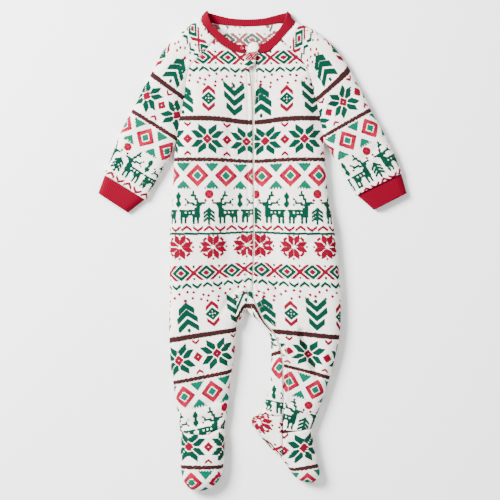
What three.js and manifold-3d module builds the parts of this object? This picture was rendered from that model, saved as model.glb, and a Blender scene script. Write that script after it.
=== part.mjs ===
// A baby's footed one-piece pajama of fleece, laid out on a flat surface with its front up.
// Lengths are in millimetres. +X is the wearer's left, +Y points to the neck and +Z up from the surface.
// The panels are thin walls: each is a grid of points on the cloth's outer face, thickened inwards.

import * as THREE from "three";
import ManifoldModule from "manifold-3d";

// Driving sizes
const fleeceWall = 2.4;
const ribWall = 2.2;
const seamGap = 0.2;
const sideSeamShare = 0.45;
const topRollShare = 0.95;
const bottomRollShare = 0.6;
const flatReach = 0.35;

// Heights of the upper face above the surface, at points along the torso, the limbs and the feet.
const loftSpread = 27;
const loftTable = [
  { x: -56, y: 322, height: 17 },
  { x: 48, y: 322, height: 17 },
  { x: -20, y: 285, height: 16.5 },
  { x: 20, y: 285, height: 16.5 },
  { x: -78, y: 312, height: 18 },
  { x: 70, y: 312, height: 18 },
  { x: -62, y: 235, height: 22 },
  { x: 58, y: 235, height: 21 },
  { x: 0, y: 225, height: 14 },
  { x: -72, y: 165, height: 22 },
  { x: 68, y: 165, height: 22 },
  { x: 0, y: 160, height: 11 },
  { x: -78, y: 90, height: 21 },
  { x: 76, y: 90, height: 22 },
  { x: 0, y: 90, height: 9.5 },
  { x: -82, y: 15, height: 22 },
  { x: 84, y: 15, height: 23 },
  { x: 0, y: 15, height: 9.5 },
  { x: -82, y: -55, height: 22 },
  { x: 86, y: -55, height: 22 },
  { x: 0, y: -45, height: 12 },
  { x: 4, y: -80, height: 17 },
  { x: -76, y: -125, height: 23 },
  { x: 84, y: -120, height: 23 },
  { x: -74, y: -190, height: 23 },
  { x: 76, y: -190, height: 22 },
  { x: -74, y: -240, height: 20 },
  { x: 58, y: -240, height: 20 },
  { x: -76, y: -305, height: 29 },
  { x: 24, y: -268, height: 24 },
  { x: 68, y: -300, height: 27 },
  { x: 84, y: -330, height: 25 },
  { x: -125, y: 255, height: 20 },
  { x: 118, y: 255, height: 19 },
  { x: -148, y: 195, height: 20 },
  { x: 146, y: 195, height: 20 },
  { x: -170, y: 145, height: 19 },
  { x: 170, y: 145, height: 19 },
  { x: -191, y: 96, height: 13.5 },
  { x: 190, y: 99, height: 13.5 },
];

// The largest creases: troughs in the upper face, each from one point to another.
const creaseTable = [
  { x0: -100, y0: 250, x1: -112, y1: 170, depth: 8, width: 11 },
  { x0: 91, y0: 250, x1: 105, y1: 170, depth: 9, width: 11 },
  { x0: -58, y0: -28, x1: -34, y1: -74, depth: 4, width: 10 },
  { x0: 30, y0: -30, x1: 52, y1: -88, depth: 3.5, width: 11 },
  { x0: 86, y0: -128, x1: 96, y1: -176, depth: 6, width: 9 },
  { x0: -104, y0: -262, x1: -50, y1: -254, depth: 4, width: 9 },
  { x0: 52, y0: -262, x1: 88, y1: -252, depth: 4, width: 9 },
  { x0: 100, y0: 120, x1: 62, y1: 132, depth: 3, width: 10 },
  { x0: -112, y0: 112, x1: -78, y1: 122, depth: 2.5, width: 10 },
  { x0: -150, y0: 236, x1: -118, y1: 212, depth: 3, width: 10 },
  { x0: 148, y0: 232, x1: 112, y1: 206, depth: 3.5, width: 10 },
];

// The outline, as the fold lines of each limb, from the wearer's right round to the left.
const sleeveOuterRight = [
  [-78.3, 347], [-97, 336], [-116, 318], [-134, 300], [-148, 273], [-163, 246],
  [-176, 219], [-191, 192], [-203, 165], [-213, 138], [-223, 114.8],
];
const sleeveInnerRight = [
  [-113.5, 165], [-124.4, 140], [-138.8, 114.6], [-150.8, 93], [-159.8, 75],
];
const sideRight = [
  [-113.5, 165], [-117.5, 138], [-119.3, 102], [-122, 60], [-125, 6], [-124.5, -50],
  [-125.2, -120], [-123.5, -168], [-120.5, -190], [-115.5, -225], [-110.5, -255], [-108.6, -272],
];
const footRight = [
  [-108.6, -272], [-107.2, -286], [-108, -304], [-107.5, -328], [-104, -346], [-97, -357], [-87.5, -361.3],
  [-76, -361.5], [-66, -358.2], [-55, -351], [-47.5, -340], [-44.4, -327.5], [-42.5, -313],
  [-41.6, -285], [-42.3, -264],
];
const inseamRight = [
  [-42.3, -264], [-37.5, -240], [-35, -213], [-31.5, -186], [-28.5, -162], [-26, -145],
  [-24.8, -128], [-23, -116], [-18.3, -110], [-14.4, -102], [-11.6, -94], [-8.4, -88.7],
];
const inseamLeft = [
  [-8.4, -88.7], [-4.5, -94.5], [0, -99.5], [6.2, -104], [12.3, -110], [19.5, -116.5],
  [25, -124.5], [27.4, -136], [27.8, -155], [27.8, -180], [26.3, -204], [20.6, -222],
  [16, -238], [8, -247.5], [1.5, -250.5], [-1.4, -256], [-0.6, -263],
];
const footEdgeLeft = [
  [-0.6, -263], [9.5, -277.5], [23, -293], [44, -314], [53.5, -327], [63, -340], [72, -346.5],
  [83, -349.4], [92, -349.2],
];
const instepLeft = [
  [92, -349.2], [98.5, -344], [101, -334], [97, -317.6], [92.3, -295], [88.5, -267.5],
];
const sideLeft = [
  [88.5, -267.5], [96.5, -249], [103, -231], [110, -210], [116.5, -190], [122.5, -168],
  [128.5, -142], [132.2, -114], [132.8, -75], [131, -42], [127, -6], [122, 37], [115, 70],
  [111, 108], [109, 138], [106.8, 165],
];
const sleeveInnerLeft = [
  [106.8, 165], [113.8, 154], [126, 131], [136.2, 114.6], [147, 97.5], [155.3, 81.5],
];
const sleeveOuterLeft = [
  [64.8, 342.6], [82, 336], [97, 327], [119, 309], [133, 291], [145, 273], [154, 255],
  [166, 235], [179, 208], [194, 182], [206.9, 157], [216, 137.6], [224.6, 115.8],
];

// Catmull-Rom through a row of numbers at each whole station.
function between(rows, place) {
  const k = Math.min(Math.floor(place), rows.length - 2);
  const t = place - k;
  const [a, b] = [rows[Math.max(k - 1, 0)], rows[k]];
  const [c, d] = [rows[k + 1], rows[Math.min(k + 2, rows.length - 1)]];
  return b.map((_, i) => {
    const bend = 2 * a[i] - 5 * b[i] + 4 * c[i] - d[i];
    const twist = 3 * (b[i] - c[i]) + d[i] - a[i];
    return b[i] + 0.5 * t * (c[i] - a[i] + t * (bend + t * twist));
  });
}

function smoothLine(points, steps = 5) {
  const count = (points.length - 1) * steps;
  return Array.from({ length: count + 1 }, (_, i) => between(points, i / steps));
}

// The collar band, from the zip round the wearer's right, the back and the left to the zip again:
// its seam to the neck (seamX, seamY), its free edge (freeX, freeY) and whether it lies on the back.
const collarTable = [
  { seamX: -10.5, seamY: 294.8, freeX: -10.2, freeY: 308.1, back: 0 },
  { seamX: -21.6, seamY: 295.7, freeX: -21.8, freeY: 308, back: 0 },
  { seamX: -39, seamY: 302.3, freeX: -35.3, freeY: 315, back: 0 },
  { seamX: -56.9, seamY: 316.8, freeX: -48, freeY: 325.5, back: 0 },
  { seamX: -71, seamY: 333.8, freeX: -60.5, freeY: 338.5, back: 0 },
  { seamX: -76.6, seamY: 342, freeX: -66.4, freeY: 351, back: 0 },
  { seamX: -78.3, seamY: 347, freeX: -68.3, freeY: 358.2, back: 0.5 },
  { seamX: -75.4, seamY: 345.4, freeX: -66.4, freeY: 357.7, back: 1 },
  { seamX: -68.3, seamY: 342.5, freeX: -60.8, freeY: 356, back: 1 },
  { seamX: -49, seamY: 338.6, freeX: -46, freeY: 352, back: 1 },
  { seamX: -33.8, seamY: 337, freeX: -32, freeY: 349, back: 1 },
  { seamX: -7.7, seamY: 336, freeX: -7, freeY: 347.6, back: 1 },
  { seamX: 19.4, seamY: 337.3, freeX: 17, freeY: 349.2, back: 1 },
  { seamX: 33.2, seamY: 339.6, freeX: 30.8, freeY: 352.5, back: 1 },
  { seamX: 50.3, seamY: 342, freeX: 43.5, freeY: 355.8, back: 1 },
  { seamX: 61, seamY: 342.6, freeX: 50.4, freeY: 357.5, back: 1 },
  { seamX: 64.8, seamY: 342.6, freeX: 52.4, freeY: 357.9, back: 0.5 },
  { seamX: 63.2, seamY: 338.2, freeX: 51.6, freeY: 353.4, back: 0 },
  { seamX: 57.5, seamY: 330.6, freeX: 47.3, freeY: 342.8, back: 0 },
  { seamX: 44.3, seamY: 315.8, freeX: 36.2, freeY: 326.4, back: 0 },
  { seamX: 28, seamY: 298.9, freeX: 24, freeY: 314.7, back: 0 },
  { seamX: 20.7, seamY: 295.6, freeX: 17.3, freeY: 310.4, back: 0 },
  { seamX: 9.5, seamY: 294.2, freeX: 9.6, freeY: 307.7, back: 0 },
];
const collarFolds = collarTable
  .filter((row) => row.back === 0.5)
  .map((row) => [[row.seamX, row.seamY], [row.freeX, row.freeY]]);

const foldLines = [
  ...collarFolds,
  ...[
    sleeveOuterRight, sleeveInnerRight, sideRight, footRight, inseamRight, inseamLeft,
    footEdgeLeft, instepLeft, sideLeft, sleeveInnerLeft, sleeveOuterLeft,
  ].map((line) => smoothLine(line, 4)),
];

function distanceToSegment(x, y, [ax, ay], [bx, by]) {
  const [ux, uy] = [bx - ax, by - ay];
  const t = Math.max(0, Math.min(1, ((x - ax) * ux + (y - ay) * uy) / (ux * ux + uy * uy)));
  return [Math.hypot(x - ax - t * ux, y - ay - t * uy), t];
}

// A plan point moved onto a fold line that passes close to it.
function onFold([x, y], reach) {
  let [least, place] = [reach, [x, y]];
  for (const line of foldLines)
    for (let i = 1; i < line.length; i++) {
      const [a, b] = [line[i - 1], line[i]];
      const [distance, t] = distanceToSegment(x, y, a, b);
      if (distance >= least) continue;
      least = distance;
      place = [a[0] + (b[0] - a[0]) * t, a[1] + (b[1] - a[1]) * t];
    }
  return place;
}

function edgeDistance(x, y) {
  let least = Infinity;
  for (const line of foldLines)
    for (let i = 1; i < line.length; i++)
      least = Math.min(least, distanceToSegment(x, y, line[i - 1], line[i])[0]);
  return least;
}

function loftHeight(x, y) {
  let [sum, weights] = [0, 0];
  for (const spot of loftTable) {
    const weight = Math.exp(-((x - spot.x) ** 2 + (y - spot.y) ** 2) / (2 * loftSpread ** 2)) + 1e-9;
    sum += weight * spot.height;
    weights += weight;
  }
  return sum / weights;
}

// Rises like a quarter circle from 0 at the fold to 1 where the roll ends.
const rollShare = (distance, roll) => Math.sqrt(1 - (1 - Math.min(distance / roll, 1)) ** 2);

function creaseDepth(x, y) {
  let depth = 0;
  for (const c of creaseTable) {
    const [distance, t] = distanceToSegment(x, y, [c.x0, c.y0], [c.x1, c.y1]);
    const along = 0.35 + 0.65 * Math.sin(Math.PI * (0.15 + 0.7 * t));
    depth += c.depth * along * Math.exp(-((distance / c.width) ** 2));
  }
  return depth;
}

function topHeight(x, y) {
  const loft = loftHeight(x, y);
  const rise = rollShare(edgeDistance(x, y), topRollShare * loft);
  return sideSeamShare * loft + seamGap + ((1 - sideSeamShare) * loft - creaseDepth(x, y)) * rise;
}

function bottomHeight(x, y) {
  const loft = loftHeight(x, y);
  return (sideSeamShare * loft - seamGap) * (1 - rollShare(edgeDistance(x, y), bottomRollShare * loft));
}

const foldHeight = (x, y) => sideSeamShare * loftHeight(x, y);

// A line of points spaced evenly along its length, or at the given shares of it.
function resample(line, spacing) {
  const lengths = [0];
  for (let i = 1; i < line.length; i++)
    lengths.push(lengths[i - 1] + Math.hypot(line[i][0] - line[i - 1][0], line[i][1] - line[i - 1][1]));
  const shares = Array.isArray(spacing) ? spacing : Array.from({ length: spacing + 1 }, (_, i) => i / spacing);
  return shares.map((share) => {
    const at = share * lengths[lengths.length - 1];
    let k = 1;
    while (k < lengths.length - 1 && lengths[k] < at) k++;
    const t = (at - lengths[k - 1]) / (lengths[k] - lengths[k - 1] || 1);
    return line[k].map((v, i) => line[k - 1][i] + (v - line[k - 1][i]) * t);
  });
}

// The part of a dense line between the points on it nearest to a and b, in that direction.
function span(line, a, b) {
  const place = ([x, y]) => {
    let [least, found] = [Infinity, 0];
    for (let i = 1; i < line.length; i++) {
      const [distance, t] = distanceToSegment(x, y, line[i - 1], line[i]);
      if (distance < least) [least, found] = [distance, i - 1 + t];
    }
    return found;
  };
  const at = (where) => {
    const k = Math.min(Math.floor(where), line.length - 2);
    return line[k].map((v, i) => v + (line[k + 1][i] - v) * (where - k));
  };
  const [from, to] = [place(a), place(b)];
  const [low, high] = from < to ? [from, to] : [to, from];
  const inside = line.filter((_, i) => i > low + 1e-3 && i < high - 1e-3);
  const part = [at(low), ...inside, at(high)];
  return from < to ? part : part.reverse();
}

// Rows that join two edges, from pairs of lines and how each pair is divided.
function rowsOf(...pairs) {
  const rows = [];
  for (const [startLine, endLine, spacing] of pairs) {
    const ends = resample(endLine, spacing);
    resample(startLine, spacing).forEach((p, i) => {
      if (i || !rows.length) rows.push([...p, ...ends[i]]);
    });
  }
  return rows;
}

// Where the columns of a row stand: close together by a fold, even elsewhere.
const foldSteps = [0, 1.2, 4.4, 10, 18];
function columnShares(width, foldStart, foldEnd, even) {
  const folds = (foldStart ? 1 : 0) + (foldEnd ? 1 : 0);
  const scale = Math.min(1, width / (folds * 24 + 4));
  const start = foldStart ? foldSteps.map((d) => (d * scale) / width) : [0];
  const end = foldEnd ? foldSteps.map((d) => 1 - (d * scale) / width).reverse() : [1];
  const [from, to] = [start[start.length - 1], end[0]];
  const middle = Array.from({ length: even - 1 }, (_, i) => from + ((to - from) * (i + 1)) / even);
  return [...start, ...middle, ...end];
}

// A plan grid. Its first and last rows bend to the given lines, and the bend fades over some rows.
function planGrid(rows, { foldStart = true, foldEnd = true, even = 3, firstLine, lastLine, fade = 5 }) {
  const last = rows.length - 1;
  return rows.map((row, r) => {
    const width = Math.hypot(row[2] - row[0], row[3] - row[1]);
    const shares = columnShares(width, foldStart, foldEnd, even);
    const at = (share) => [row[0] + (row[2] - row[0]) * share, row[1] + (row[3] - row[1]) * share];
    const plan = shares.map(at);
    for (const [line, edgeRow, away] of [[firstLine, rows[0], r], [lastLine, rows[last], last - r]]) {
      if (!line || away >= fade) continue;
      const keep = (1 - away / fade) ** 1.5;
      resample(line, shares).forEach(([x, y], c) => {
        const share = shares[c];
        plan[c][0] += (x - edgeRow[0] - (edgeRow[2] - edgeRow[0]) * share) * keep;
        plan[c][1] += (y - edgeRow[1] - (edgeRow[3] - edgeRow[1]) * share) * keep;
      });
    }
    return plan;
  });
}

// Moves sides of a grid inwards along its rows or columns, to leave a gap at a seam.
function inset(grid, sides, gap = 2 * seamGap, untilRow = grid.length) {
  const last = grid.length - 1;
  const end = grid[0].length - 1;
  const pull = (p, q) => {
    const length = Math.hypot(q[0] - p[0], q[1] - p[1]) || 1;
    return [p[0] + ((q[0] - p[0]) * gap) / length, p[1] + ((q[1] - p[1]) * gap) / length];
  };
  grid.forEach((row, r) => {
    if (r >= untilRow) return;
    if (sides.includes("start")) row[0] = pull(row[0], row[2]);
    if (sides.includes("end")) row[end] = pull(row[end], row[end - 2]);
  });
  if (sides.includes("first")) grid[0] = grid[0].map((p, i) => pull(p, grid[2][i]));
  if (sides.includes("last")) grid[last] = grid[last].map((p, i) => pull(p, grid[last - 2][i]));
  return grid;
}

const lift = (grid, height) => grid.map((row) => row.map(([x, y]) => [x, y, height(x, y)]));

// Joins grids of outer points where they meet and thickens them inwards into one closed wall.
function wallSolid(grids, wall, { flip = false, onEdge = (p) => edgeDistance(p.x, p.y) < flatReach } = {}) {
  const points = [];
  const keys = new Map();
  const indexOf = (p) => {
    const key = p.map((v) => Math.round(v * 500)).join();
    if (!keys.has(key)) {
      keys.set(key, points.length);
      points.push(new THREE.Vector3(...p));
    }
    return keys.get(key);
  };
  const faces = [];
  for (const grid of grids) {
    const ids = grid.map((row) => row.map(indexOf));
    for (let r = 1; r < ids.length; r++)
      for (let c = 1; c < ids[0].length; c++) {
        const [a, b, d, e] = [ids[r - 1][c - 1], ids[r - 1][c], ids[r][c - 1], ids[r][c]];
        const pair = (r + c) % 2 ? [[a, d, b], [b, d, e]] : [[a, d, e], [a, e, b]];
        for (const face of pair)
          if (new Set(face).size === 3) faces.push(flip ? [face[0], face[2], face[1]] : face);
      }
  }
  const normals = points.map(() => new THREE.Vector3());
  const [u, v] = [new THREE.Vector3(), new THREE.Vector3()];
  const edges = new Map();
  for (const [a, b, c] of faces) {
    u.subVectors(points[b], points[a]);
    v.subVectors(points[c], points[a]);
    u.cross(v);
    for (const i of [a, b, c]) normals[i].add(u);
    for (const [p, q] of [[a, b], [b, c], [c, a]]) edges.set(`${p},${q}`, [p, q]);
  }
  const rim = [...edges.values()].filter(([p, q]) => !edges.has(`${q},${p}`));
  const folded = new Map(rim.flat().map((i) => [i, onEdge(points[i])]));
  const alongFold = new Map();
  for (const [p, q] of rim) {
    u.subVectors(points[q], points[p]).setZ(0).normalize();
    if (!folded.get(p) || !folded.get(q)) continue;
    for (const i of [p, q]) alongFold.set(i, (alongFold.get(i) ?? new THREE.Vector3()).add(u));
  }
  for (const [i, along] of alongFold) {
    const out = v.set(along.y, -along.x, 0).normalize();
    normals[i].copy(out.dot(normals[i]) < 0 ? out.negate() : out);
  }
  for (const [p, q] of rim) {
    u.subVectors(points[q], points[p]).setZ(0);
    if ((folded.get(p) && folded.get(q)) || u.length() < flatReach) continue;
    const across = new THREE.Vector3(-u.y, u.x, 0).normalize();
    for (const i of [p, q]) normals[i].normalize().addScaledVector(across, -normals[i].dot(across));
  }
  const inner = points.map((p, i) => p.clone().addScaledVector(normals[i].normalize(), -wall));
  const shift = points.length;
  const all = [...faces, ...faces.map(([a, b, c]) => [a + shift, c + shift, b + shift])];
  for (const [p, q] of rim) all.push([q, p, p + shift], [q, p + shift, q + shift]);
  return solidGeometry([...points, ...inner].map((p) => p.toArray()), all);
}

function solidGeometry(points, faces) {
  const geometry = new THREE.BufferGeometry();
  geometry.setAttribute("position", new THREE.Float32BufferAttribute(points.flat(), 3));
  geometry.setIndex(faces.flat());
  geometry.computeVertexNormals();
  return geometry;
}

const wasm = await ManifoldModule();
wasm.setup();
const block = (x, y, z, w, l, h) => wasm.Manifold.cube([w, l, h], true).translate([x, y, z + h / 2]);
function meshOf(solid) {
  const { vertProperties, triVerts } = solid.getMesh();
  const points = [];
  for (let i = 0; i < vertProperties.length; i += 3) points.push([...vertProperties.subarray(i, i + 3)]);
  const faces = [];
  for (let i = 0; i < triVerts.length; i += 3) faces.push([...triVerts.subarray(i, i + 3)]);
  return solidGeometry(points, faces);
}
function solidOf(geometry) {
  const vertProperties = geometry.getAttribute("position").array;
  const triVerts = new Uint32Array(geometry.index.array);
  return new wasm.Manifold(new wasm.Mesh({ numProp: 3, vertProperties, triVerts }));
}

const pajama = new THREE.Group();
function add(name, geometry, material) {
  const mesh = new THREE.Mesh(geometry, material);
  mesh.name = name;
  pajama.add(mesh);
  return mesh;
}

const fleece = new THREE.MeshStandardMaterial({ color: 0xf1ebe0, roughness: 0.95, metalness: 0 });
const rib = new THREE.MeshStandardMaterial({ color: 0xb9001f, roughness: 0.9, metalness: 0 });
const zipTape = new THREE.MeshStandardMaterial({ color: 0xf0e8d6, roughness: 0.8, metalness: 0 });
const zipPlastic = new THREE.MeshStandardMaterial({ color: 0xeae6da, roughness: 0.4, metalness: 0 });
const snapRed = new THREE.MeshStandardMaterial({ color: 0xc0203a, roughness: 0.5, metalness: 0 });

// The zip's middle line and half the gap between the two fronts, from the neck to its end above the ankle.
const zipLine = [
  [-1, 294.5, 7], [0, 282, 6.8], [0.4, 265, 5.6], [1, 235, 3.2], [1.2, 195, 1.8], [1.4, 150, 1.3],
  [1.6, 100, 1.2], [2, 40, 1.2], [1.8, -10, 1.2], [0.4, -42, 1.2], [0.4, -60, 1.2], [3.6, -77, 1.2],
  [11, -94, 1.2], [18.6, -108, 1.2], [28, -119.5, 1.2], [37.5, -135, 1.2], [43.2, -152, 1.2],
  [45.4, -169.5, 1.2], [45.8, -186, 1.1], [45.5, -203.4, 0.9], [46.4, -225, 0.4], [46.4, -248, 0.4],
  [45.6, -270, 0.4],
];
const zipEndsAt = 19;
const zipSteps = 3;
const zipPath = smoothLine(zipLine, zipSteps);
function zipSide(place, reach) {
  const before = zipPath[Math.max(place - 1, 0)];
  const after = zipPath[Math.min(place + 1, zipPath.length - 1)];
  const length = Math.hypot(after[0] - before[0], after[1] - before[1]);
  const [x, y] = zipPath[place];
  return [x - (reach * (after[1] - before[1])) / length, y + (reach * (after[0] - before[0])) / length];
}
// The edge of one front beside the zip, on side -1 or 1, between two stations of its middle line.
function besideZip(side, from, to) {
  const points = [];
  for (let i = from * zipSteps; i <= to * zipSteps; i++) points.push(zipSide(i, side * zipPath[i][2]));
  return points;
}

// Seams
const collarSteps = 3;
const collarSeam = smoothLine(collarTable.map((row) => [row.seamX, row.seamY]), collarSteps);
const neckLine = (from, to) => {
  const part = collarSeam.slice(Math.min(from, to) * collarSteps, Math.max(from, to) * collarSteps + 1);
  return from < to ? part : part.reverse();
};
const armpitRight = [-113.5, 165];
const armpitLeft = [106.8, 165];
const raglan = {
  frontRight: smoothLine([
    [-56.9, 316.8], [-71.3, 297.5], [-86.3, 284], [-95.3, 271], [-99.8, 254], [-101.8, 234],
    [-105.8, 214], [-109.8, 190], armpitRight,
  ]),
  frontLeft: smoothLine([
    [44.3, 315.8], [59.3, 299], [74.3, 284], [83.3, 270], [89.3, 252], [93, 234], [98.3, 214],
    [102.8, 190], armpitLeft,
  ]),
  backRight: smoothLine([
    [-33.8, 337], [-50, 315], [-66, 297], [-80, 281], [-92, 262], [-99, 240], [-105, 214],
    [-109.5, 190], armpitRight,
  ]),
  backLeft: smoothLine([
    [19.4, 337.3], [36, 316], [52, 298], [68, 282], [80, 264], [88, 242], [96.5, 214],
    [102.3, 190], armpitLeft,
  ]),
};
const [sideR, sideL] = [smoothLine(sideRight, 4), smoothLine(sideLeft, 4)];
const [inseamR, inseamL] = [smoothLine(inseamRight, 4), smoothLine(inseamLeft, 4)];
const [footR, footL] = [smoothLine(footRight, 4), smoothLine(footEdgeLeft, 4)];
const instepL = smoothLine(instepLeft, 4);
const fork = inseamRight[inseamRight.length - 1];
const gussetTip = [-24.2, -122];
const gussetSeam = [
  ...smoothLine([besideZip(-1, 10, 10)[0], [-13, -64], [-20.6, -70], [-24, -80], [-25, -96], [-25.2, -110]]),
  onFold(gussetTip, 4),
];
const ankleRight = smoothLine([
  [-108.6, -272], [-94, -275], [-81.8, -276], [-70.2, -276], [-56.9, -271], [-42.3, -264],
]);
const ankleLeft = [[45.6, -270], [66, -270.5], [88.5, -267.5]];
const heelSeam = [[45.6, -270], [45.2, -285], [45.4, -297], [46, -307.5]];
const heelTip = [42, -312];
const heelRowCount = 6;
const heelTop = [7, -248.4];
const toeLeft = [92, -349.2];

// Fronts
const rowCounts = { raglan: 9, chest: 10, gusset: 8, leg: 9 };
const frontRightRows = rowsOf(
  [raglan.frontRight, besideZip(-1, 0, 5), rowCounts.raglan],
  [span(sideR, armpitRight, [-124.7, -62]), besideZip(-1, 5, 10), rowCounts.chest],
  [span(sideR, [-124.7, -62], [-125.2, -122]), gussetSeam, rowCounts.gusset],
  [span(sideR, [-125.2, -122], [-108.6, -272]), span(inseamR, gussetTip, [-42.3, -264]), rowCounts.leg],
);
const frontRight = planGrid(frontRightRows, {
  firstLine: [...neckLine(3, 0), besideZip(-1, 0, 0)[0]],
  lastLine: ankleRight,
});
add("front_right", wallSolid([lift(frontRight, topHeight)], fleeceWall), fleece);

const frontLeftRows = rowsOf(
  [besideZip(1, 0, 5), raglan.frontLeft, rowCounts.raglan],
  [besideZip(1, 5, 10), span(sideL, armpitLeft, [132.5, -62]), rowCounts.chest],
  [besideZip(1, 10, 16), span(sideL, [132.5, -62], [125.5, -155]), rowCounts.gusset],
  [besideZip(1, 16, 22), span(sideL, [125.5, -155], [88.5, -267.5]), rowCounts.leg],
);
const frontLeft = planGrid(frontLeftRows, {
  firstLine: [besideZip(1, 0, 0)[0], ...neckLine(22, 19)],
  lastLine: ankleLeft,
});
add("front_left", wallSolid([lift(frontLeft, topHeight)], fleeceWall), fleece);

// Gusset: from a point on the right leg's inside round the fork and down the left leg's inside to the heel.
const gussetEdge = resample(gussetSeam, rowCounts.gusset).slice(0, -1).reverse();
const gussetFold = resample(span(inseamR, [-22.4, -115], fork), gussetEdge.length - 1);
const gussetRows = [
  ...gussetEdge.map((p, i) => [...gussetFold[i], ...p]),
  ...rowsOf([span(inseamL, fork, heelTop), besideZip(-1, 10, 21), 16]).slice(1),
];
const gussetGap = 1.1;
const gusset = inset(planGrid(gussetRows, { foldEnd: false, even: 4 }), ["end"], gussetGap, gussetEdge.length);
const gussetWall = solidOf(wallSolid([lift(gusset, topHeight)], fleeceWall));
// Past the seam of its narrow end the gusset's inner side is cut off flush at innerX.
const gussetCut = { x: -40, y: -104, innerX: -24.4, length: 48, height: 60 };
const cutWidth = 2 * (gussetCut.innerX - gussetCut.x);
const cutBlock = block(gussetCut.x, gussetCut.y, -1, cutWidth, gussetCut.length, gussetCut.height);
const gussetBodies = gussetWall.subtract(cutBlock).decompose();
gussetBodies.sort((a, b) => b.volume() - a.volume());
add("crotch_gusset", meshOf(gussetBodies[0]), fleece);

// Back: one panel for the body and both legs
const middleBack = smoothLine([[-7.7, 336], [-5, 300], [-3.4, 230], [-3, 165], [-2.5, 80], [-4, -20], fork]);
const backMiddleAt = [-3, 165];
const backRight = planGrid(
  rowsOf(
    [raglan.backRight, span(middleBack, [-7.7, 336], backMiddleAt), rowCounts.raglan],
    [span(sideR, armpitRight, [-125.1, -90]), span(middleBack, backMiddleAt, fork), rowCounts.chest],
    [span(sideR, [-125.1, -90], [-108.6, -272]), span(inseamR, fork, [-42.3, -264]), rowCounts.leg],
  ),
  { even: 2, firstLine: neckLine(10, 11) },
);
const backLeft = planGrid(
  rowsOf(
    [span(middleBack, [-7.7, 336], backMiddleAt), raglan.backLeft, rowCounts.raglan],
    [span(middleBack, backMiddleAt, fork), span(sideL, armpitLeft, [132.7, -88]), rowCounts.chest],
    [span(inseamL, fork, [-0.6, -263]), span(sideL, [132.7, -88], [88.5, -267.5]), rowCounts.leg + 3],
  ),
  { even: 2, firstLine: neckLine(11, 12) },
);
const backGrids = [backRight, backLeft].map((grid) => lift(grid, bottomHeight));
add("back_panel", wallSolid(backGrids, fleeceWall, { flip: true }), fleece);

// Sleeves: each goes round from the front raglan over the outer fold to the back raglan.
// Below the armpit it closes into a tube.
function sleeve(front, back, outer, outerAtArmpit, inner, lines) {
  const outerLine = smoothLine(outer, 4);
  const innerLine = smoothLine(inner, 4);
  const cuffEnd = [innerLine[innerLine.length - 1], outerLine[outerLine.length - 1]];
  const armSpan = span(outerLine, outerLine[0], outerAtArmpit);
  const lowSpan = span(outerLine, outerAtArmpit, cuffEnd[1]);
  const lowRows = 6;
  const grids = [[front, lines.front], [back, lines.back]].map(([seam, firstLine]) => {
    const rows = rowsOf([seam, armSpan, rowCounts.raglan], [innerLine, lowSpan, lowRows]);
    return inset(planGrid(rows, { even: 2, firstLine }), ["start"], 2 * seamGap, rowCounts.raglan);
  });
  const [top, bottom] = [lift(grids[0], topHeight), lift(grids[1], bottomHeight)];
  return top.map((row, r) => {
    const under = bottom[r].reverse();
    const [x, y] = row[row.length - 1];
    const loop = [...row.slice(0, -1), [x, y, foldHeight(x, y)], ...under.slice(1)];
    if (r < rowCounts.raglan) return loop;
    const shift = r === rowCounts.raglan ? 3 * seamGap : 0;
    const [px, py] = [row[0][0] + (Math.sign(x) * shift), row[0][1] - shift];
    loop[0] = [px, py, foldHeight(px, py)];
    loop[loop.length - 1] = loop[0];
    return loop;
  });
}
const sleeveRight = sleeve(
  raglan.frontRight, raglan.backRight, sleeveOuterRight, [-181, 210], sleeveInnerRight,
  { front: neckLine(3, 6), back: neckLine(10, 6) },
);
add("sleeve_right", wallSolid([sleeveRight], fleeceWall, { flip: true, onEdge: () => false }), fleece);
const sleeveLeft = sleeve(
  raglan.frontLeft, raglan.backLeft, sleeveOuterLeft, [174, 216], sleeveInnerLeft,
  { front: neckLine(19, 16), back: neckLine(12, 16) },
);
add("sleeve_left", wallSolid([sleeveLeft], fleeceWall, { onEdge: () => false }), fleece);

// Cuffs: flat rings of rib on the ends of the sleeves.
const cuffTable = {
  cuff_right: { inner: [[-162.6, 75.6], [-187.5, 56.1]], outer: [[-222.4, 112.6], [-232.2, 85.5]] },
  cuff_left: { inner: [[158, 82.1], [182.7, 60]], outer: [[223.8, 114.4], [232.2, 85.5]] },
};
const cuffHeights = [12.5, 11];
const cuffWidth = 60;
for (const [name, { inner, outer }] of Object.entries(cuffTable)) {
  const rowCount = 5;
  const rows = rowsOf([inner, outer, rowCount]);
  const shares = columnShares(cuffWidth, true, true, 2);
  const ring = rows.map((row, r) => {
    const height = cuffHeights[0] + ((cuffHeights[1] - cuffHeights[0]) * r) / rowCount;
    const width = Math.hypot(row[2] - row[0], row[3] - row[1]);
    const point = (share, top) => {
      const near = Math.min(share, 1 - share) * width;
      const z = top
        ? height * (sideSeamShare + (1 - sideSeamShare) * rollShare(near, topRollShare * height))
        : height * sideSeamShare * (1 - rollShare(near, bottomRollShare * height));
      return [row[0] + (row[2] - row[0]) * share, row[1] + (row[3] - row[1]) * share, z];
    };
    const under = shares.slice(1, -1).reverse().map((share) => point(share, false));
    const loop = [...shares.map((share) => point(share, true)), ...under];
    return [...loop, loop[0]];
  });
  add(name, wallSolid([ring], ribWall, { flip: name === "cuff_right", onEdge: () => false }), rib);
}

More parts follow.
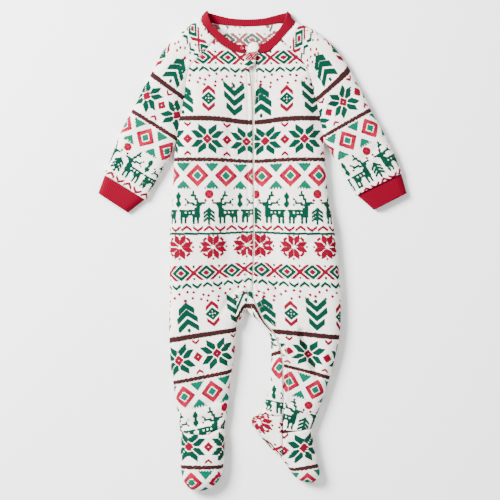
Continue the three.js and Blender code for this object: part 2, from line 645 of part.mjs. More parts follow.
// Collar
const collarRowsEach = 3;
const collarRows = smoothLine(
  collarTable.map((row) => [row.seamX, row.seamY, row.freeX, row.freeY, row.back]),
  collarRowsEach,
);
const collarShares = [0, 0.35, 0.7, 1];
const collarGap = 1.2;
const collarGrid = collarRows.map(([sx, sy, fx, fy], r) => {
  const place = r / collarRowsEach;
  const folds = collarTable.flatMap((row, i) => (row.back === 0.5 ? [i] : []));
  const onTheBack = place > folds[0] && place < folds[1];
  const length = Math.hypot(fx - sx, fy - sy);
  return collarShares.map((share) => {
    const t = (collarGap + (length - collarGap) * share) / length;
    const [x, y] = [sx + (fx - sx) * t, sy + (fy - sy) * t];
    if (folds.includes(place)) return [x, y, foldHeight(x, y)];
    return [x, y, onTheBack ? bottomHeight(x, y) : topHeight(x, y)];
  });
});
add("collar", wallSolid([collarGrid], ribWall, { flip: true, onEdge: () => false }), rib);

// Feet
const footGap = 0.7;
const toeShares = [0, 0.14, 0.28, 0.42, 0.55, 0.67, 0.78, 0.87, 0.935, 0.98, 1];
const footSides = {
  right: [
    span(footR, [-108.6, -272], [-87.5, -361.3]),
    span(footR, [-42.3, -264], [-66, -358.2]),
    span(footR, [-87.5, -361.3], [-66, -358.2]),
  ],
  left: [
    span(footL, [-0.6, -263], [78, -348.3]),
    span(instepL, [88.5, -267.5], toeLeft),
    span(footL, [78, -348.3], toeLeft),
  ],
};
const vampRight = planGrid(rowsOf([...footSides.right.slice(0, 2), toeShares]), {
  firstLine: ankleRight, lastLine: footSides.right[2], fade: 4,
});
add("vamp_right", wallSolid([lift(inset(vampRight, ["first"], footGap), topHeight)], fleeceWall), fleece);
const soleRight = planGrid(rowsOf([...footSides.right.slice(0, 2), toeShares]), {
  lastLine: footSides.right[2], fade: 4,
});
const soleRightGrid = lift(inset(soleRight, ["first"], footGap), bottomHeight);
add("sole_right", wallSolid([soleRightGrid], fleeceWall, { flip: true }), fleece);

const instepTurn = [[95.3, -310.5], [96.4, -314.8]];
const toeSharesLeft = [0, 0.25, 0.5, 0.7, 0.85, 0.95, 1];
const vampLeft = planGrid(
  rowsOf(
    [heelSeam, span(instepL, [88.5, -267.5], instepTurn[0]), heelRowCount],
    [[heelSeam[heelSeam.length - 1], onFold(heelTip, 4)], span(instepL, ...instepTurn), 1],
    [span(footL, heelTip, [78, -348.3]), span(instepL, instepTurn[1], toeLeft), toeSharesLeft],
  ),
  { firstLine: ankleLeft, lastLine: footSides.left[2], fade: 5 },
);
add("vamp_left", wallSolid([lift(inset(vampLeft, ["first"], footGap), topHeight)], fleeceWall), fleece);
const soleLeft = planGrid(rowsOf([footSides.left[0], footSides.left[1], toeShares]), {
  lastLine: footSides.left[2], fade: 4,
});
const soleLeftGrid = lift(inset(soleLeft, ["first"], footGap), bottomHeight);
add("sole_left", wallSolid([soleLeftGrid], fleeceWall, { flip: true }), fleece);

const heelGap = 1;
const heelEdge = resample(heelSeam, heelRowCount);
const heelFold = resample(span(footL, [-0.6, -263], heelTip), heelRowCount);
const heelRows = [
  ...rowsOf([span(inseamL, heelTop, [-0.6, -263]), besideZip(-1, 21, 22), 3]).slice(0, -1),
  ...heelFold.map((p, i) => [...p, ...heelEdge[i]]),
];
const heel = inset(planGrid(heelRows, { foldEnd: false, even: 4 }), ["first", "end", "last"], heelGap);
add("heel_left", wallSolid([lift(heel, topHeight)], fleeceWall), fleece);

// A closed solid swept through equal loops of points, with flat ends.
function sweptSolid(loops, capFaces) {
  const n = loops[0].length;
  const faces = [];
  for (let r = 1; r < loops.length; r++)
    for (let c = 0; c < n; c++) {
      const [a, b] = [(r - 1) * n + c, (r - 1) * n + ((c + 1) % n)];
      faces.push([a, b, a + n], [b, b + n, a + n]);
    }
  const shift = (loops.length - 1) * n;
  for (const [a, b, c] of capFaces) faces.push([a, c, b], [a + shift, b + shift, c + shift]);
  return solidGeometry(loops.flat(), faces);
}

// Zip: two tapes under the edges of the fronts, each with its half of the coil chain.
const tape = {
  wall: 1, reach: 10, fromFold: 5, narrow: 6, narrowDrop: 0.7, edge: 0.2, openEdge: 1.6, openAbove: 286,
};
const chainDepth = 2;
const chainHalf = 1.9;
const slopeStep = 0.5;
const steepest = 1.2;
function tapeTop(x, y) {
  const dx = topHeight(x + slopeStep, y) - topHeight(x - slopeStep, y);
  const dy = topHeight(x, y + slopeStep) - topHeight(x, y - slopeStep);
  const slope = Math.min(Math.hypot(dx, dy) / (2 * slopeStep), steepest);
  return topHeight(x, y) - fleeceWall * Math.hypot(1, slope) - 2 * seamGap;
}
for (const [name, side] of [["zip_tape_right", -1], ["zip_tape_left", 1]]) {
  const loops = [];
  for (let place = 0; place <= zipEndsAt * zipSteps; place++) {
    const [x, y] = zipPath[place];
    const reach = Math.max(chainHalf + 0.3, Math.min(tape.reach, edgeDistance(x, y) - tape.fromFold));
    const extraDrop = reach < tape.narrow ? tape.narrowDrop : 0;
    const start = y > tape.openAbove ? tape.openEdge : tape.edge;
    const section = [
      [start, 0], [chainHalf, 0], [reach, 0], [reach, -tape.wall], [chainHalf, -tape.wall - 0.1],
      [chainHalf, -chainDepth], [start, -chainDepth],
    ];
    const loop = section.map(([across, down]) => {
      const [px, py] = zipSide(place, side * across);
      return [px, py, tapeTop(px, py) + down - extraDrop];
    });
    loops.push(side < 0 ? loop : loop.reverse());
  }
  const caps = [[0, 1, 6], [1, 5, 6], [1, 4, 5], [1, 2, 4], [2, 3, 4]];
  const turned = caps.map((face) => face.map((i) => 6 - i).reverse());
  add(name, sweptSolid(loops, side < 0 ? caps : turned), zipTape);
}

// Slider with a low bail, its pull tab, and the cloth guard that covers both.
const slider = {
  x: -0.5, y: 286, width: 7.4, length: 9, plate: 1.3, offChain: 0.6,
  postWidth: 2, postLength: 1.8, postAhead: 2.6,
};
const chainTop = tapeTop(slider.x, slider.y);
const plateTop = chainTop + slider.offChain + slider.plate;
const plateUnder = chainTop - chainDepth - slider.offChain - slider.plate;
const postY = slider.y + slider.postAhead;
const bail = { height: 2.6, bar: 1, span: 5, width: 1, sunk: 0.1 };
const pullTurn = -12;
const pull = { wall: 1, width: 5, length: 11, eyeWidth: 2.6, eyeLength: 3.4, rim: 1.1, ahead: 0.6, above: 0.3 };
const sliderSolid = wasm.Manifold.union([
  block(slider.x, slider.y, plateTop - slider.plate, slider.width, slider.length, slider.plate),
  block(slider.x, slider.y, plateUnder, slider.width, slider.length, slider.plate),
  block(slider.x, postY, plateUnder, slider.postWidth, slider.postLength, plateTop - plateUnder),
  block(slider.x, slider.y + bail.span / 2, plateTop - bail.sunk, bail.width, bail.bar, bail.height),
  block(slider.x, slider.y - bail.span / 2, plateTop - bail.sunk, bail.width, bail.bar, bail.height),
  block(slider.x, slider.y, plateTop + bail.height - bail.bar, bail.width, bail.span + bail.bar, bail.bar),
]);
add("zip_slider", meshOf(sliderSolid), zipPlastic);
const eyeY = pull.length / 2 - pull.rim - pull.eyeLength / 2;
const pullSolid = block(0, 0, 0, pull.width, pull.length, pull.wall)
  .subtract(block(0, eyeY, -1, pull.eyeWidth, pull.eyeLength, 3))
  .translate([0, -pull.length / 2 + pull.rim / 2, 0])
  .rotate([0, 0, pullTurn])
  .translate([slider.x, slider.y + pull.ahead, plateTop + pull.above]);
add("zip_pull", meshOf(pullSolid), zipPlastic);

const guardWall = 2.6;
const guardPlay = 0.2;
const guardCurl = 1.2;
const guardShares = [0, 0.25, 0.5, 0.75, 1];
// Rows of the guard from its top down: its two edges and the height of its under face.
const guardTable = [
  { leftX: -5, leftY: 309.6, rightX: 6, rightY: 311.8, z: 13.6 },
  { leftX: -6.6, leftY: 303.6, rightX: 8.4, rightY: 305.8, z: 15.6 },
  { leftX: -8, leftY: 297.5, rightX: 7.8, rightY: 299.8, z: 17.8 },
  { leftX: -9.6, leftY: 291.4, rightX: 5.8, rightY: 293.4, z: 19.2 },
  { leftX: -11.6, leftY: 284.5, rightX: 4.9, rightY: 286, z: 19.6 },
  { leftX: -13.3, leftY: 277.8, rightX: 4, rightY: 280, z: 19.4 },
  { leftX: -13.3, leftY: 272.8, rightX: 1.6, rightY: 276.6, z: 18.6 },
  { leftX: -11.6, leftY: 269.4, rightX: -3.2, rightY: 273.6, z: 18 },
];
const guardRows = smoothLine(guardTable.map((g) => [g.leftX, g.leftY, g.rightX, g.rightY, g.z]), 2);
const guardGrid = guardRows.map(([lx, ly, rx, ry, z]) =>
  guardShares.map((t) => [
    lx + (rx - lx) * t,
    ly + (ry - ly) * t,
    z + guardWall - guardCurl * (2 * t - 1) ** 4,
  ]),
);
add("zip_guard", wallSolid([guardGrid], guardWall - guardPlay, { onEdge: () => false }), fleece);

// Snap cap on the collar's right end
const snap = { x: -15.6, y: 302.6, radius: 3, taper: 0.5, height: 1.1, above: 0.5, sides: 24 };
const snapCap = new THREE.CylinderGeometry(snap.radius - snap.taper, snap.radius, snap.height, snap.sides);
snapCap.rotateX(Math.PI / 2);
snapCap.translate(snap.x, snap.y, topHeight(snap.x, snap.y) + snap.above + snap.height / 2);
add("collar_snap", snapCap, snapRed);

// The frame's origin is the middle of the underside.
pajama.updateMatrixWorld(true);
const middle = new THREE.Box3().setFromObject(pajama, true).getCenter(new THREE.Vector3());
for (const mesh of pajama.children) mesh.geometry.translate(-middle.x, -middle.y, 0);

export default pajama;
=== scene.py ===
# A baby's footed fleece pajama with a knitted-look winter print, laid out flat with its front up.
# Shapes are worked out in millimetres, x to the wearer's left, y to the neck, z up from the surface.
import math

import bpy
import numpy as np
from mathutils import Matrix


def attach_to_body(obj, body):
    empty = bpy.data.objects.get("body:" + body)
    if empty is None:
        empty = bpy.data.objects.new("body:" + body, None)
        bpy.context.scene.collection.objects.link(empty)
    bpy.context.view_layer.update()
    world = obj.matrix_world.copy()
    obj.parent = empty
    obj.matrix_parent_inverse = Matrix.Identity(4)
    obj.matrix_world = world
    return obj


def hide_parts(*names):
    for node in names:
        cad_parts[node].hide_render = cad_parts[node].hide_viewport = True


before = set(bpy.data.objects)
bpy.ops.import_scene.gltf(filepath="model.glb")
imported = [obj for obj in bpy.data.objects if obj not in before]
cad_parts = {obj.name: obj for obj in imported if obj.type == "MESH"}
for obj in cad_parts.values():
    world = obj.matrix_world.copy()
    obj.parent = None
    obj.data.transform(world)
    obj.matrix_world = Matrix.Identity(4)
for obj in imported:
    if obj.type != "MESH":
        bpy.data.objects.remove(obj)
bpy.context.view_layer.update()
print("frame loaded")

# Camera and stage. One pixel of the picture is 1.5 mm on the surface.
mmPerPixel = 1.5
pixelMiddle = (252.5, 250)
frameShiftY = 1.1832
view = {"distance": 3.0, "lens": 144, "middle": (250, 250), "aimHeight": 0.015}


def metres(points):
    # The drawing's millimetres become the frame's metres; the frame's middle lies a little lower.
    moved = np.array(points, float)
    moved[..., 1] += frameShiftY
    return moved / 1000


def pixels(x, y):
    # Where a spot in millimetres falls in the picture.
    return pixelMiddle[0] + x / mmPerPixel, pixelMiddle[1] - y / mmPerPixel


cameraData = bpy.data.cameras.new("overhead")
cameraData.lens = view["lens"]
cameraData.sensor_width = 36
camera = bpy.data.objects.new("overhead", cameraData)
camera.location = (
    (view["middle"][0] - pixelMiddle[0]) * mmPerPixel / 1000,
    (pixelMiddle[1] - view["middle"][1]) * mmPerPixel / 1000 + frameShiftY / 1000,
    view["distance"] + view["aimHeight"],
)
bpy.context.scene.collection.objects.link(camera)
bpy.context.scene.camera = camera


# Shader helpers
class Shade:
    # A shader socket that takes part in Python arithmetic: each operation adds one Math node.
    def __init__(self, socket):
        self.socket = socket

    def node(self, kind, settings=None, inputs=None, output=0):
        tree = self.socket.id_data
        made = tree.nodes.new(kind)
        for name, value in (settings or {}).items():
            if name == "stops":
                ramp = made.color_ramp
                for spare in list(ramp.elements)[2:]:
                    ramp.elements.remove(spare)
                for index, (place, colour) in enumerate(value):
                    stop = ramp.elements[index] if index < 2 else ramp.elements.new(place)
                    stop.position = place
                    stop.color = colour
            else:
                setattr(made, name, value)
        for name, value in (inputs or {}).items():
            if isinstance(value, Shade):
                tree.links.new(value.socket, made.inputs[name])
            else:
                made.inputs[name].default_value = value
        return Shade(made.outputs[output]) if len(made.outputs) else None

    def math(self, operation, *values):
        return self.node("ShaderNodeMath", {"operation": operation}, dict(enumerate(values)))

    def __add__(self, other):
        return self.math("ADD", self, other)

    def __sub__(self, other):
        return self.math("SUBTRACT", self, other)

    def __mul__(self, other):
        return self.math("MULTIPLY", self, other)


def linear(red, green, blue):
    # An 8-bit screen colour as linear light.
    shares = [v / 255 for v in (red, green, blue)]
    return (*[v / 12.92 if v <= 0.04045 else ((v + 0.055) / 1.055) ** 2.4 for v in shares], 1)


def startMaterial(name):
    # An empty material and its Object coordinates.
    material = bpy.data.materials.new(name)
    material.use_nodes = True
    material.node_tree.nodes.clear()
    return material, Shade(material.node_tree.nodes.new("ShaderNodeTexCoord").outputs["Object"])


def mixColour(factor, low, high):
    # From one colour to the other as the factor goes from 0 to 1.
    return factor.node("ShaderNodeMix", {"data_type": "RGBA"}, {0: factor, 6: low, 7: high}, output=2)


def noise(coords, scale, detail=2.0):
    # Fractal noise about 0.5; the scale counts lumps a metre.
    return coords.node("ShaderNodeTexNoise", {}, {"Vector": coords, "Scale": scale, "Detail": detail})


def softStep(value, low, high, fromValue=0.0, toValue=1.0):
    # A smooth step between two limits.
    settings = {"interpolation_type": "SMOOTHSTEP"}
    inputs = {0: value, 1: low, 2: high, 3: fromValue, 4: toValue}
    return value.node("ShaderNodeMapRange", settings, inputs)


def surface(coords, height, strength, distance, **sockets):
    # Ends a material: a bumped Principled surface whose other values come by socket name.
    bump = coords.node("ShaderNodeBump", {}, {"Height": height, "Strength": strength, "Distance": distance})
    named = {key.replace("_", " "): value for key, value in sockets.items()}
    shader = coords.node("ShaderNodeBsdfPrincipled", {}, {**named, "Normal": bump})
    coords.node("ShaderNodeOutputMaterial", {}, {"Surface": shader})


printColours = {
    "cream": linear(246, 242, 234),
    "shadeCream": linear(238, 231, 221),
    "red": linear(108, 0, 28),
    "pink": linear(156, 10, 46),
    "green": linear(0, 52, 38),
    "paleGreen": linear(2, 92, 70),
    "brown": linear(44, 21, 21),
}


def fleeceMaterial(name, fade):
    # Printed fleece. The point colour holds how far a spot is covered by red, green and brown, and its
    # alpha how pale the thread is. Fine noise frays the print's edges; fade mixes it into the cream.
    material, coords = startMaterial(name)
    inks = coords.node("ShaderNodeAttribute", {"attribute_name": "print"}, output=0)
    pale = Shade(inks.socket.node.outputs["Alpha"])
    split = inks.node("ShaderNodeSeparateColor", {}, {"Color": inks}).socket.node
    fray = (noise(coords, 1100, 3) - 0.5) * 0.35
    mottle = noise(coords, 140, 3)
    colour = mixColour(softStep(mottle, 0.3, 0.75), printColours["cream"], printColours["shadeCream"])
    for index, (ink, light) in enumerate([("red", "pink"), ("green", "paleGreen"), ("brown", "brown")]):
        cover = softStep(Shade(split.outputs[index]) + fray, 0.24, 0.56, 0.0, 1 - fade)
        wear = pale * 0.85 + softStep(mottle, 0.45, 0.8, 0.0, 0.1)
        worn = mixColour(wear, printColours[ink], printColours[light])
        colour = mixColour(cover, colour, worn)
    nap = noise(coords, 520, 4) * 0.7 + noise(coords, 1900, 2) * 0.5
    surface(
        coords, nap, 0.4, 0.0009,
        Base_Color=colour, Roughness=0.95, Sheen_Weight=0.02, Sheen_Roughness=0.6,
        Sheen_Tint=(1, 0.98, 0.95, 1), Specular_IOR_Level=0.04,
    )
    return material


ribLook = {"wales": 210, "courses": 120}


def ribMaterial():
    # Ribbed knit on the piece's own UV: u runs across the ribs and v along them, both in decimetres.
    material, coords = startMaterial("rib_knit")
    uv = coords.node("ShaderNodeUVMap", {"uv_map": "knit"})
    split = uv.node("ShaderNodeSeparateXYZ", {}, {0: uv}).socket.node
    across, along = Shade(split.outputs[0]), Shade(split.outputs[1])
    ribs = (across * ribLook["wales"]).math("SINE", across * ribLook["wales"])
    stitches = along.math("SINE", (along * ribLook["courses"] + ribs * 0.9) * 2.0)
    fuzz = noise(coords, 900, 3)
    height = ribs * 0.4 + stitches * 0.1 + fuzz * 0.35
    # Painted shade: the red is darker in the troughs between the ribs and lighter on their crests, with
    # random fuzz through it.
    ribShadeAndFuzz = softStep(ribs + fuzz * 0.6, -0.8, 1.2)
    colour = mixColour(ribShadeAndFuzz, linear(90, 0, 20), linear(108, 0, 26))
    surface(
        coords, height, 0.35, 0.0006,
        Base_Color=colour, Roughness=0.9, Sheen_Weight=0.02, Sheen_Roughness=0.5, Specular_IOR_Level=0.05,
    )
    return material


def tapeMaterial():
    # Woven zip tape: a fine crossed weave in the bump.
    material, coords = startMaterial("tape_weave")
    weave = coords.node("ShaderNodeTexWave", {"wave_type": "BANDS", "bands_direction": "DIAGONAL"},
                        {"Vector": coords, "Scale": 420.0, "Distortion": 1.0, "Detail": 1.0}, output=1)
    grain = noise(coords, 1500, 2)
    colour = mixColour(softStep(grain, 0.3, 0.7), linear(232, 226, 208), linear(243, 238, 224))
    surface(coords, weave * 0.6 + grain * 0.5, 0.4, 0.0004, Base_Color=colour, Roughness=0.8)
    return material


def plainMaterial(name, dark, light, roughness, scale=400.0):
    # Smooth plastic or thread with a slight change of tone and a faint grain.
    material, coords = startMaterial(name)
    grain = noise(coords, scale, 3)
    colour = mixColour(softStep(grain, 0.3, 0.7), dark, light)
    surface(coords, grain, 0.15, 0.0002, Base_Color=colour, Roughness=roughness)
    return material


fleeceFace = fleeceMaterial("fleece_print", 0.0)
fleeceBack = fleeceMaterial("fleece_wrong_side", 0.06)
ribKnit = ribMaterial()
tapeWeave = tapeMaterial()
zipPlastic = plainMaterial("zip_plastic", linear(222, 216, 200), linear(238, 233, 219), 0.42)
coilPlastic = plainMaterial("coil_plastic", linear(214, 207, 190), linear(236, 230, 214), 0.45)
snapEnamel = plainMaterial("snap_enamel", linear(120, 4, 30), linear(146, 10, 40), 0.32)
creamThread = plainMaterial("cream_thread", linear(214, 206, 192), linear(238, 232, 220), 0.75, 1500.0)
print("materials made")

# Loft: height of the upper face at points on the torso, limbs and feet, as x, y, height.
loftSpread = 27
loftTable = np.array([
    (-56, 322, 17), (48, 322, 17), (-20, 285, 16.5), (20, 285, 16.5), (-78, 312, 18), (70, 312, 18),
    (-62, 235, 22), (58, 235, 21), (0, 225, 14), (-72, 165, 22), (68, 165, 22), (0, 160, 11),
    (-78, 90, 21), (76, 90, 22), (0, 90, 9.5), (-82, 15, 22), (84, 15, 23), (0, 15, 9.5),
    (-82, -55, 22), (86, -55, 22), (0, -45, 12), (4, -80, 17), (-76, -125, 23), (84, -120, 23),
    (-74, -190, 23), (76, -190, 22), (-74, -240, 20), (58, -240, 20), (-76, -305, 29), (24, -268, 24),
    (68, -300, 27), (84, -330, 25), (-125, 255, 20), (118, 255, 19), (-148, 195, 20), (146, 195, 20),
    (-170, 145, 19), (170, 145, 19), (-191, 96, 13.5), (190, 99, 13.5),
])

# Troughs of the upper face: x, y of both ends, depth and width. The first eleven are the solid's own.
creaseTable = np.array([
    (-100, 250, -112, 170, 8, 11), (91, 250, 105, 170, 9, 11), (-58, -28, -34, -74, 4, 10),
    (30, -30, 52, -88, 3.5, 11), (86, -128, 96, -176, 6, 9), (-104, -262, -50, -254, 4, 9),
    (52, -262, 88, -252, 4, 9), (100, 120, 62, 132, 3, 10), (-112, 112, -78, 122, 2.5, 10),
    (-150, 236, -118, 212, 3, 10), (148, 232, 112, 206, 3.5, 10),
])
softCreases = np.array([
    (-30, 210, -38, 120, 0.9, 6), (24, 205, 34, 140, 0.8, 6), (-44, 60, -36, -10, 0.8, 7),
    (-96, 40, -70, 22, 1.1, 6), (104, 20, 74, 4, 1.2, 6), (-20, -52, -48, -96, 1.6, 5),
    (14, -40, 44, -62, 1.5, 5), (70, -112, 82, -132, 1.5, 5), (60, -150, 74, -196, 1.1, 6),
    (-40, -150, -66, -168, 1.2, 6), (-112, -150, -84, -160, 1.2, 6), (-36, -222, -70, -232, 1.4, 6),
    (-108, -236, -82, -240, 1.2, 5), (40, -236, 66, -226, 1.2, 6), (-166, 176, -142, 190, 1.4, 6),
    (-196, 150, -168, 132, 1.3, 6), (-182, 108, -196, 132, 1.2, 5), (190, 156, 164, 134, 1.4, 6),
    (172, 112, 190, 134, 1.2, 5), (-88, 292, -112, 276, 1.3, 6), (78, 290, 104, 272, 1.3, 6),
    (-62, -330, -84, -338, 1.0, 6), (60, -288, 84, -300, 1.1, 6), (20, -284, 34, -300, 1.2, 5),
    (-92, -292, -60, -288, 1.2, 6), (46, -262, 47, -242, 1.3, 3), (42, -214, 52, -228, 1.0, 4),
    (73, -122, 78, -142, 4.2, 4.2), (78, -142, 93, -177, 5.0, 4.4), (93, -177, 97, -190, 3.6, 4),
    (-12, 60, -18, -20, 0.9, 5), (16, 70, 22, 10, 0.8, 5), (56, 60, 64, 0, 1.0, 7),
])

sideSeamShare, seamGap, topRollShare, bottomRollShare = 0.45, 0.2, 0.95, 0.6
fleeceWall, ribWall = 2.4, 2.2
# How the cloth dips into a seam and swells beside it, and how deep the soft creases are.
seamLook = {"dip": 1.1, "width": 2.4, "swell": 0.35, "swellAt": 5, "edgeDip": 1.3, "stitchWidth": 1.3,
            "crease": 1.5, "rise": 1.4}

# The outline, as the fold lines of each limb.
sleeveOuterRight = [
    (-78.3, 347), (-97, 336), (-116, 318), (-134, 300), (-148, 273), (-163, 246), (-176, 219),
    (-191, 192), (-203, 165), (-213, 138), (-223, 114.8),
]
sleeveInnerRight = [(-113.5, 165), (-124.4, 140), (-138.8, 114.6), (-150.8, 93), (-159.8, 75)]
sideRight = [
    (-113.5, 165), (-117.5, 138), (-119.3, 102), (-122, 60), (-125, 6), (-124.5, -50), (-125.2, -120),
    (-123.5, -168), (-120.5, -190), (-115.5, -225), (-110.5, -255), (-108.6, -272),
]
footRight = [
    (-108.6, -272), (-107.2, -286), (-108, -304), (-107.5, -328), (-104, -346), (-97, -357),
    (-87.5, -361.3), (-76, -361.5), (-66, -358.2), (-55, -351), (-47.5, -340), (-44.4, -327.5),
    (-42.5, -313), (-41.6, -285), (-42.3, -264),
]
inseamRight = [
    (-42.3, -264), (-37.5, -240), (-35, -213), (-31.5, -186), (-28.5, -162), (-26, -145),
    (-24.8, -128), (-23, -116), (-18.3, -110), (-14.4, -102), (-11.6, -94), (-8.4, -88.7),
]
inseamLeft = [
    (-8.4, -88.7), (-4.5, -94.5), (0, -99.5), (6.2, -104), (12.3, -110), (19.5, -116.5), (25, -124.5),
    (27.4, -136), (27.8, -155), (27.8, -180), (26.3, -204), (20.6, -222), (16, -238), (8, -247.5),
    (1.5, -250.5), (-1.4, -256), (-0.6, -263),
]
footEdgeLeft = [
    (-0.6, -263), (9.5, -277.5), (23, -293), (44, -314), (53.5, -327), (63, -340), (72, -346.5),
    (83, -349.4), (92, -349.2),
]
instepLeft = [(92, -349.2), (98.5, -344), (101, -334), (97, -317.6), (92.3, -295), (88.5, -267.5)]
sideLeft = [
    (88.5, -267.5), (96.5, -249), (103, -231), (110, -210), (116.5, -190), (122.5, -168), (128.5, -142),
    (132.2, -114), (132.8, -75), (131, -42), (127, -6), (122, 37), (115, 70), (111, 108), (109, 138),
    (106.8, 165),
]
sleeveInnerLeft = [(106.8, 165), (113.8, 154), (126, 131), (136.2, 114.6), (147, 97.5), (155.3, 81.5)]
sleeveOuterLeft = [
    (64.8, 342.6), (82, 336), (97, 327), (119, 309), (133, 291), (145, 273), (154, 255), (166, 235),
    (179, 208), (194, 182), (206.9, 157), (216, 137.6), (224.6, 115.8),
]
# The collar band from the zip round the wearer's right, the back and the left: its seam (x, y),
# its free edge (x, y), and 1 on the back, 0.5 where it folds.
collarTable = np.array([
    (-10.5, 294.8, -10.2, 308.1, 0), (-21.6, 295.7, -21.8, 308, 0), (-39, 302.3, -35.3, 315, 0),
    (-56.9, 316.8, -48, 325.5, 0), (-71, 333.8, -60.5, 338.5, 0), (-76.6, 342, -66.4, 351, 0),
    (-78.3, 347, -68.3, 358.2, 0.5), (-75.4, 345.4, -66.4, 357.7, 1), (-68.3, 342.5, -60.8, 356, 1),
    (-49, 338.6, -46, 352, 1), (-33.8, 337, -32, 349, 1), (-7.7, 336, -7, 347.6, 1),
    (19.4, 337.3, 17, 349.2, 1), (33.2, 339.6, 30.8, 352.5, 1), (50.3, 342, 43.5, 355.8, 1),
    (61, 342.6, 50.4, 357.5, 1), (64.8, 342.6, 52.4, 357.9, 0.5), (63.2, 338.2, 51.6, 353.4, 0),
    (57.5, 330.6, 47.3, 342.8, 0), (44.3, 315.8, 36.2, 326.4, 0), (28, 298.9, 24, 314.7, 0),
    (20.7, 295.6, 17.3, 310.4, 0), (9.5, 294.2, 9.6, 307.7, 0),
])
# Topstitching, tapes and coil of the zip; the fold of cloth at the stitching is a narrow trough.
zipLook = {
    "stitchAt": 7.9, "stitchDip": 1.7, "tapeWall": 1.0, "reach": 10.0, "leastReach": 2.2, "foldRoom": 5,
    "start": 0.25, "guardFrom": 286, "guardStart": 1.6, "narrow": 6, "lowered": 0.7, "rows": 300,
    "columns": 7, "coilWidth": 1.15, "coilHeight": 0.8, "coilAway": 0.95, "coilSunk": 0.1, "coilFrom": 0.02,
    "wire": 0.34, "wireSides": 5, "pitch": 1.5, "turnSteps": 9,
}
# The zip's middle line and half the gap between the fronts.
zipLine = [
    (-1, 294.5, 7), (0, 282, 6.8), (0.4, 265, 5.6), (1, 235, 3.2), (1.2, 195, 1.8), (1.4, 150, 1.3),
    (1.6, 100, 1.2), (2, 40, 1.2), (1.8, -10, 1.2), (0.4, -42, 1.2), (0.4, -60, 1.2), (3.6, -77, 1.2),
    (11, -94, 1.2), (18.6, -108, 1.2), (28, -119.5, 1.2), (37.5, -135, 1.2), (43.2, -152, 1.2),
    (45.4, -169.5, 1.2), (45.8, -186, 1.1), (45.5, -203.4, 0.9), (46.4, -225, 0.4), (46.4, -248, 0.4),
    (45.6, -270, 0.4),
]


# Lines
def smoothLine(points, steps=4):
    # Catmull-Rom through the points, with a number of steps between two of them.
    p = np.asarray(points, float)
    place = np.linspace(0, len(p) - 1, (len(p) - 1) * steps + 1)
    k = np.minimum(place.astype(int), len(p) - 2)
    t = (place - k)[:, None]
    a, b, c, d = p[np.maximum(k - 1, 0)], p[k], p[k + 1], p[np.minimum(k + 2, len(p) - 1)]
    return b + 0.5 * t * (c - a + t * (2 * a - 5 * b + 4 * c - d + t * (3 * (b - c) + d - a)))


def lineLengths(line):
    # Distance along a line at each of its points.
    steps = np.linalg.norm(np.diff(line[:, :2], axis=0), axis=1)
    return np.concatenate([[0], np.cumsum(steps)])


def resample(line, shares):
    # Points at the given shares of a line's length.
    line = np.asarray(line, float)
    lengths = lineLengths(line)
    at = np.asarray(shares) * lengths[-1]
    return np.stack([np.interp(at, lengths, line[:, i]) for i in range(line.shape[1])], -1)


def nearestOn(points, lines, chunk=3000):
    # Distance from each point to the nearest of the lines, the foot point there and its place on a line.
    flat = np.asarray(points, float).reshape(-1, 2)
    starts = np.concatenate([line[:-1, :2] for line in lines])
    steps = np.concatenate([np.diff(line[:, :2], axis=0) for line in lines])
    squares = np.maximum((steps**2).sum(1), 1e-12)
    distances, feet, places = np.empty(len(flat)), np.empty_like(flat), np.empty(len(flat))
    for low in range(0, len(flat), chunk):
        part = flat[low:low + chunk, None] - starts[None]
        t = np.clip((part * steps).sum(2) / squares, 0, 1)
        apart = part - t[..., None] * steps
        square = (apart**2).sum(2)
        best = square.argmin(1)
        rows = np.arange(len(best))
        distances[low:low + chunk] = np.sqrt(square[rows, best])
        feet[low:low + chunk] = starts[best] + t[rows, best][:, None] * steps[best]
        places[low:low + chunk] = best + t[rows, best]
    shape = np.shape(points)[:-1]
    return distances.reshape(shape), feet.reshape(*shape, 2), places.reshape(shape)


def span(line, a, b):
    # The part of a dense line between the spots nearest to a and b, in that direction.
    places = nearestOn(np.array([a, b], float), [line])[2]
    low, high = sorted(places)
    inside = [i for i in range(len(line)) if low + 1e-3 < i < high - 1e-3]
    at = np.array([low, *inside, high])
    part = np.stack([np.interp(at, np.arange(len(line)), line[:, i]) for i in range(line.shape[1])], -1)
    return part if places[0] < places[1] else part[::-1]


def leftOf(ahead):
    # Unit steps at right angles to the given ones, to their left.
    ahead = ahead / np.maximum(np.linalg.norm(ahead, axis=1), 1e-9)[:, None]
    return np.stack([-ahead[:, 1], ahead[:, 0]], -1)


zipSteps = 3
zipPath = smoothLine(zipLine, zipSteps)
zipMiddle = zipPath[:19 * zipSteps + 1]  # as far down as the tapes go


def besideZip(side, start, end, reach=None):
    # A line beside the zip between two stations: at half the gap, or at a given reach.
    far = zipPath[:, 2:] if reach is None else reach
    line = zipPath[:, :2] + side * far * leftOf(np.gradient(zipPath[:, :2], axis=0))
    return line[start * zipSteps:end * zipSteps + 1]


collarSteps = 3
collarSeam = smoothLine(collarTable[:, :2], collarSteps)


def neckLine(start, end):
    # The collar's seam between two rows of its table.
    part = collarSeam[min(start, end) * collarSteps:max(start, end) * collarSteps + 1]
    return part if start < end else part[::-1]


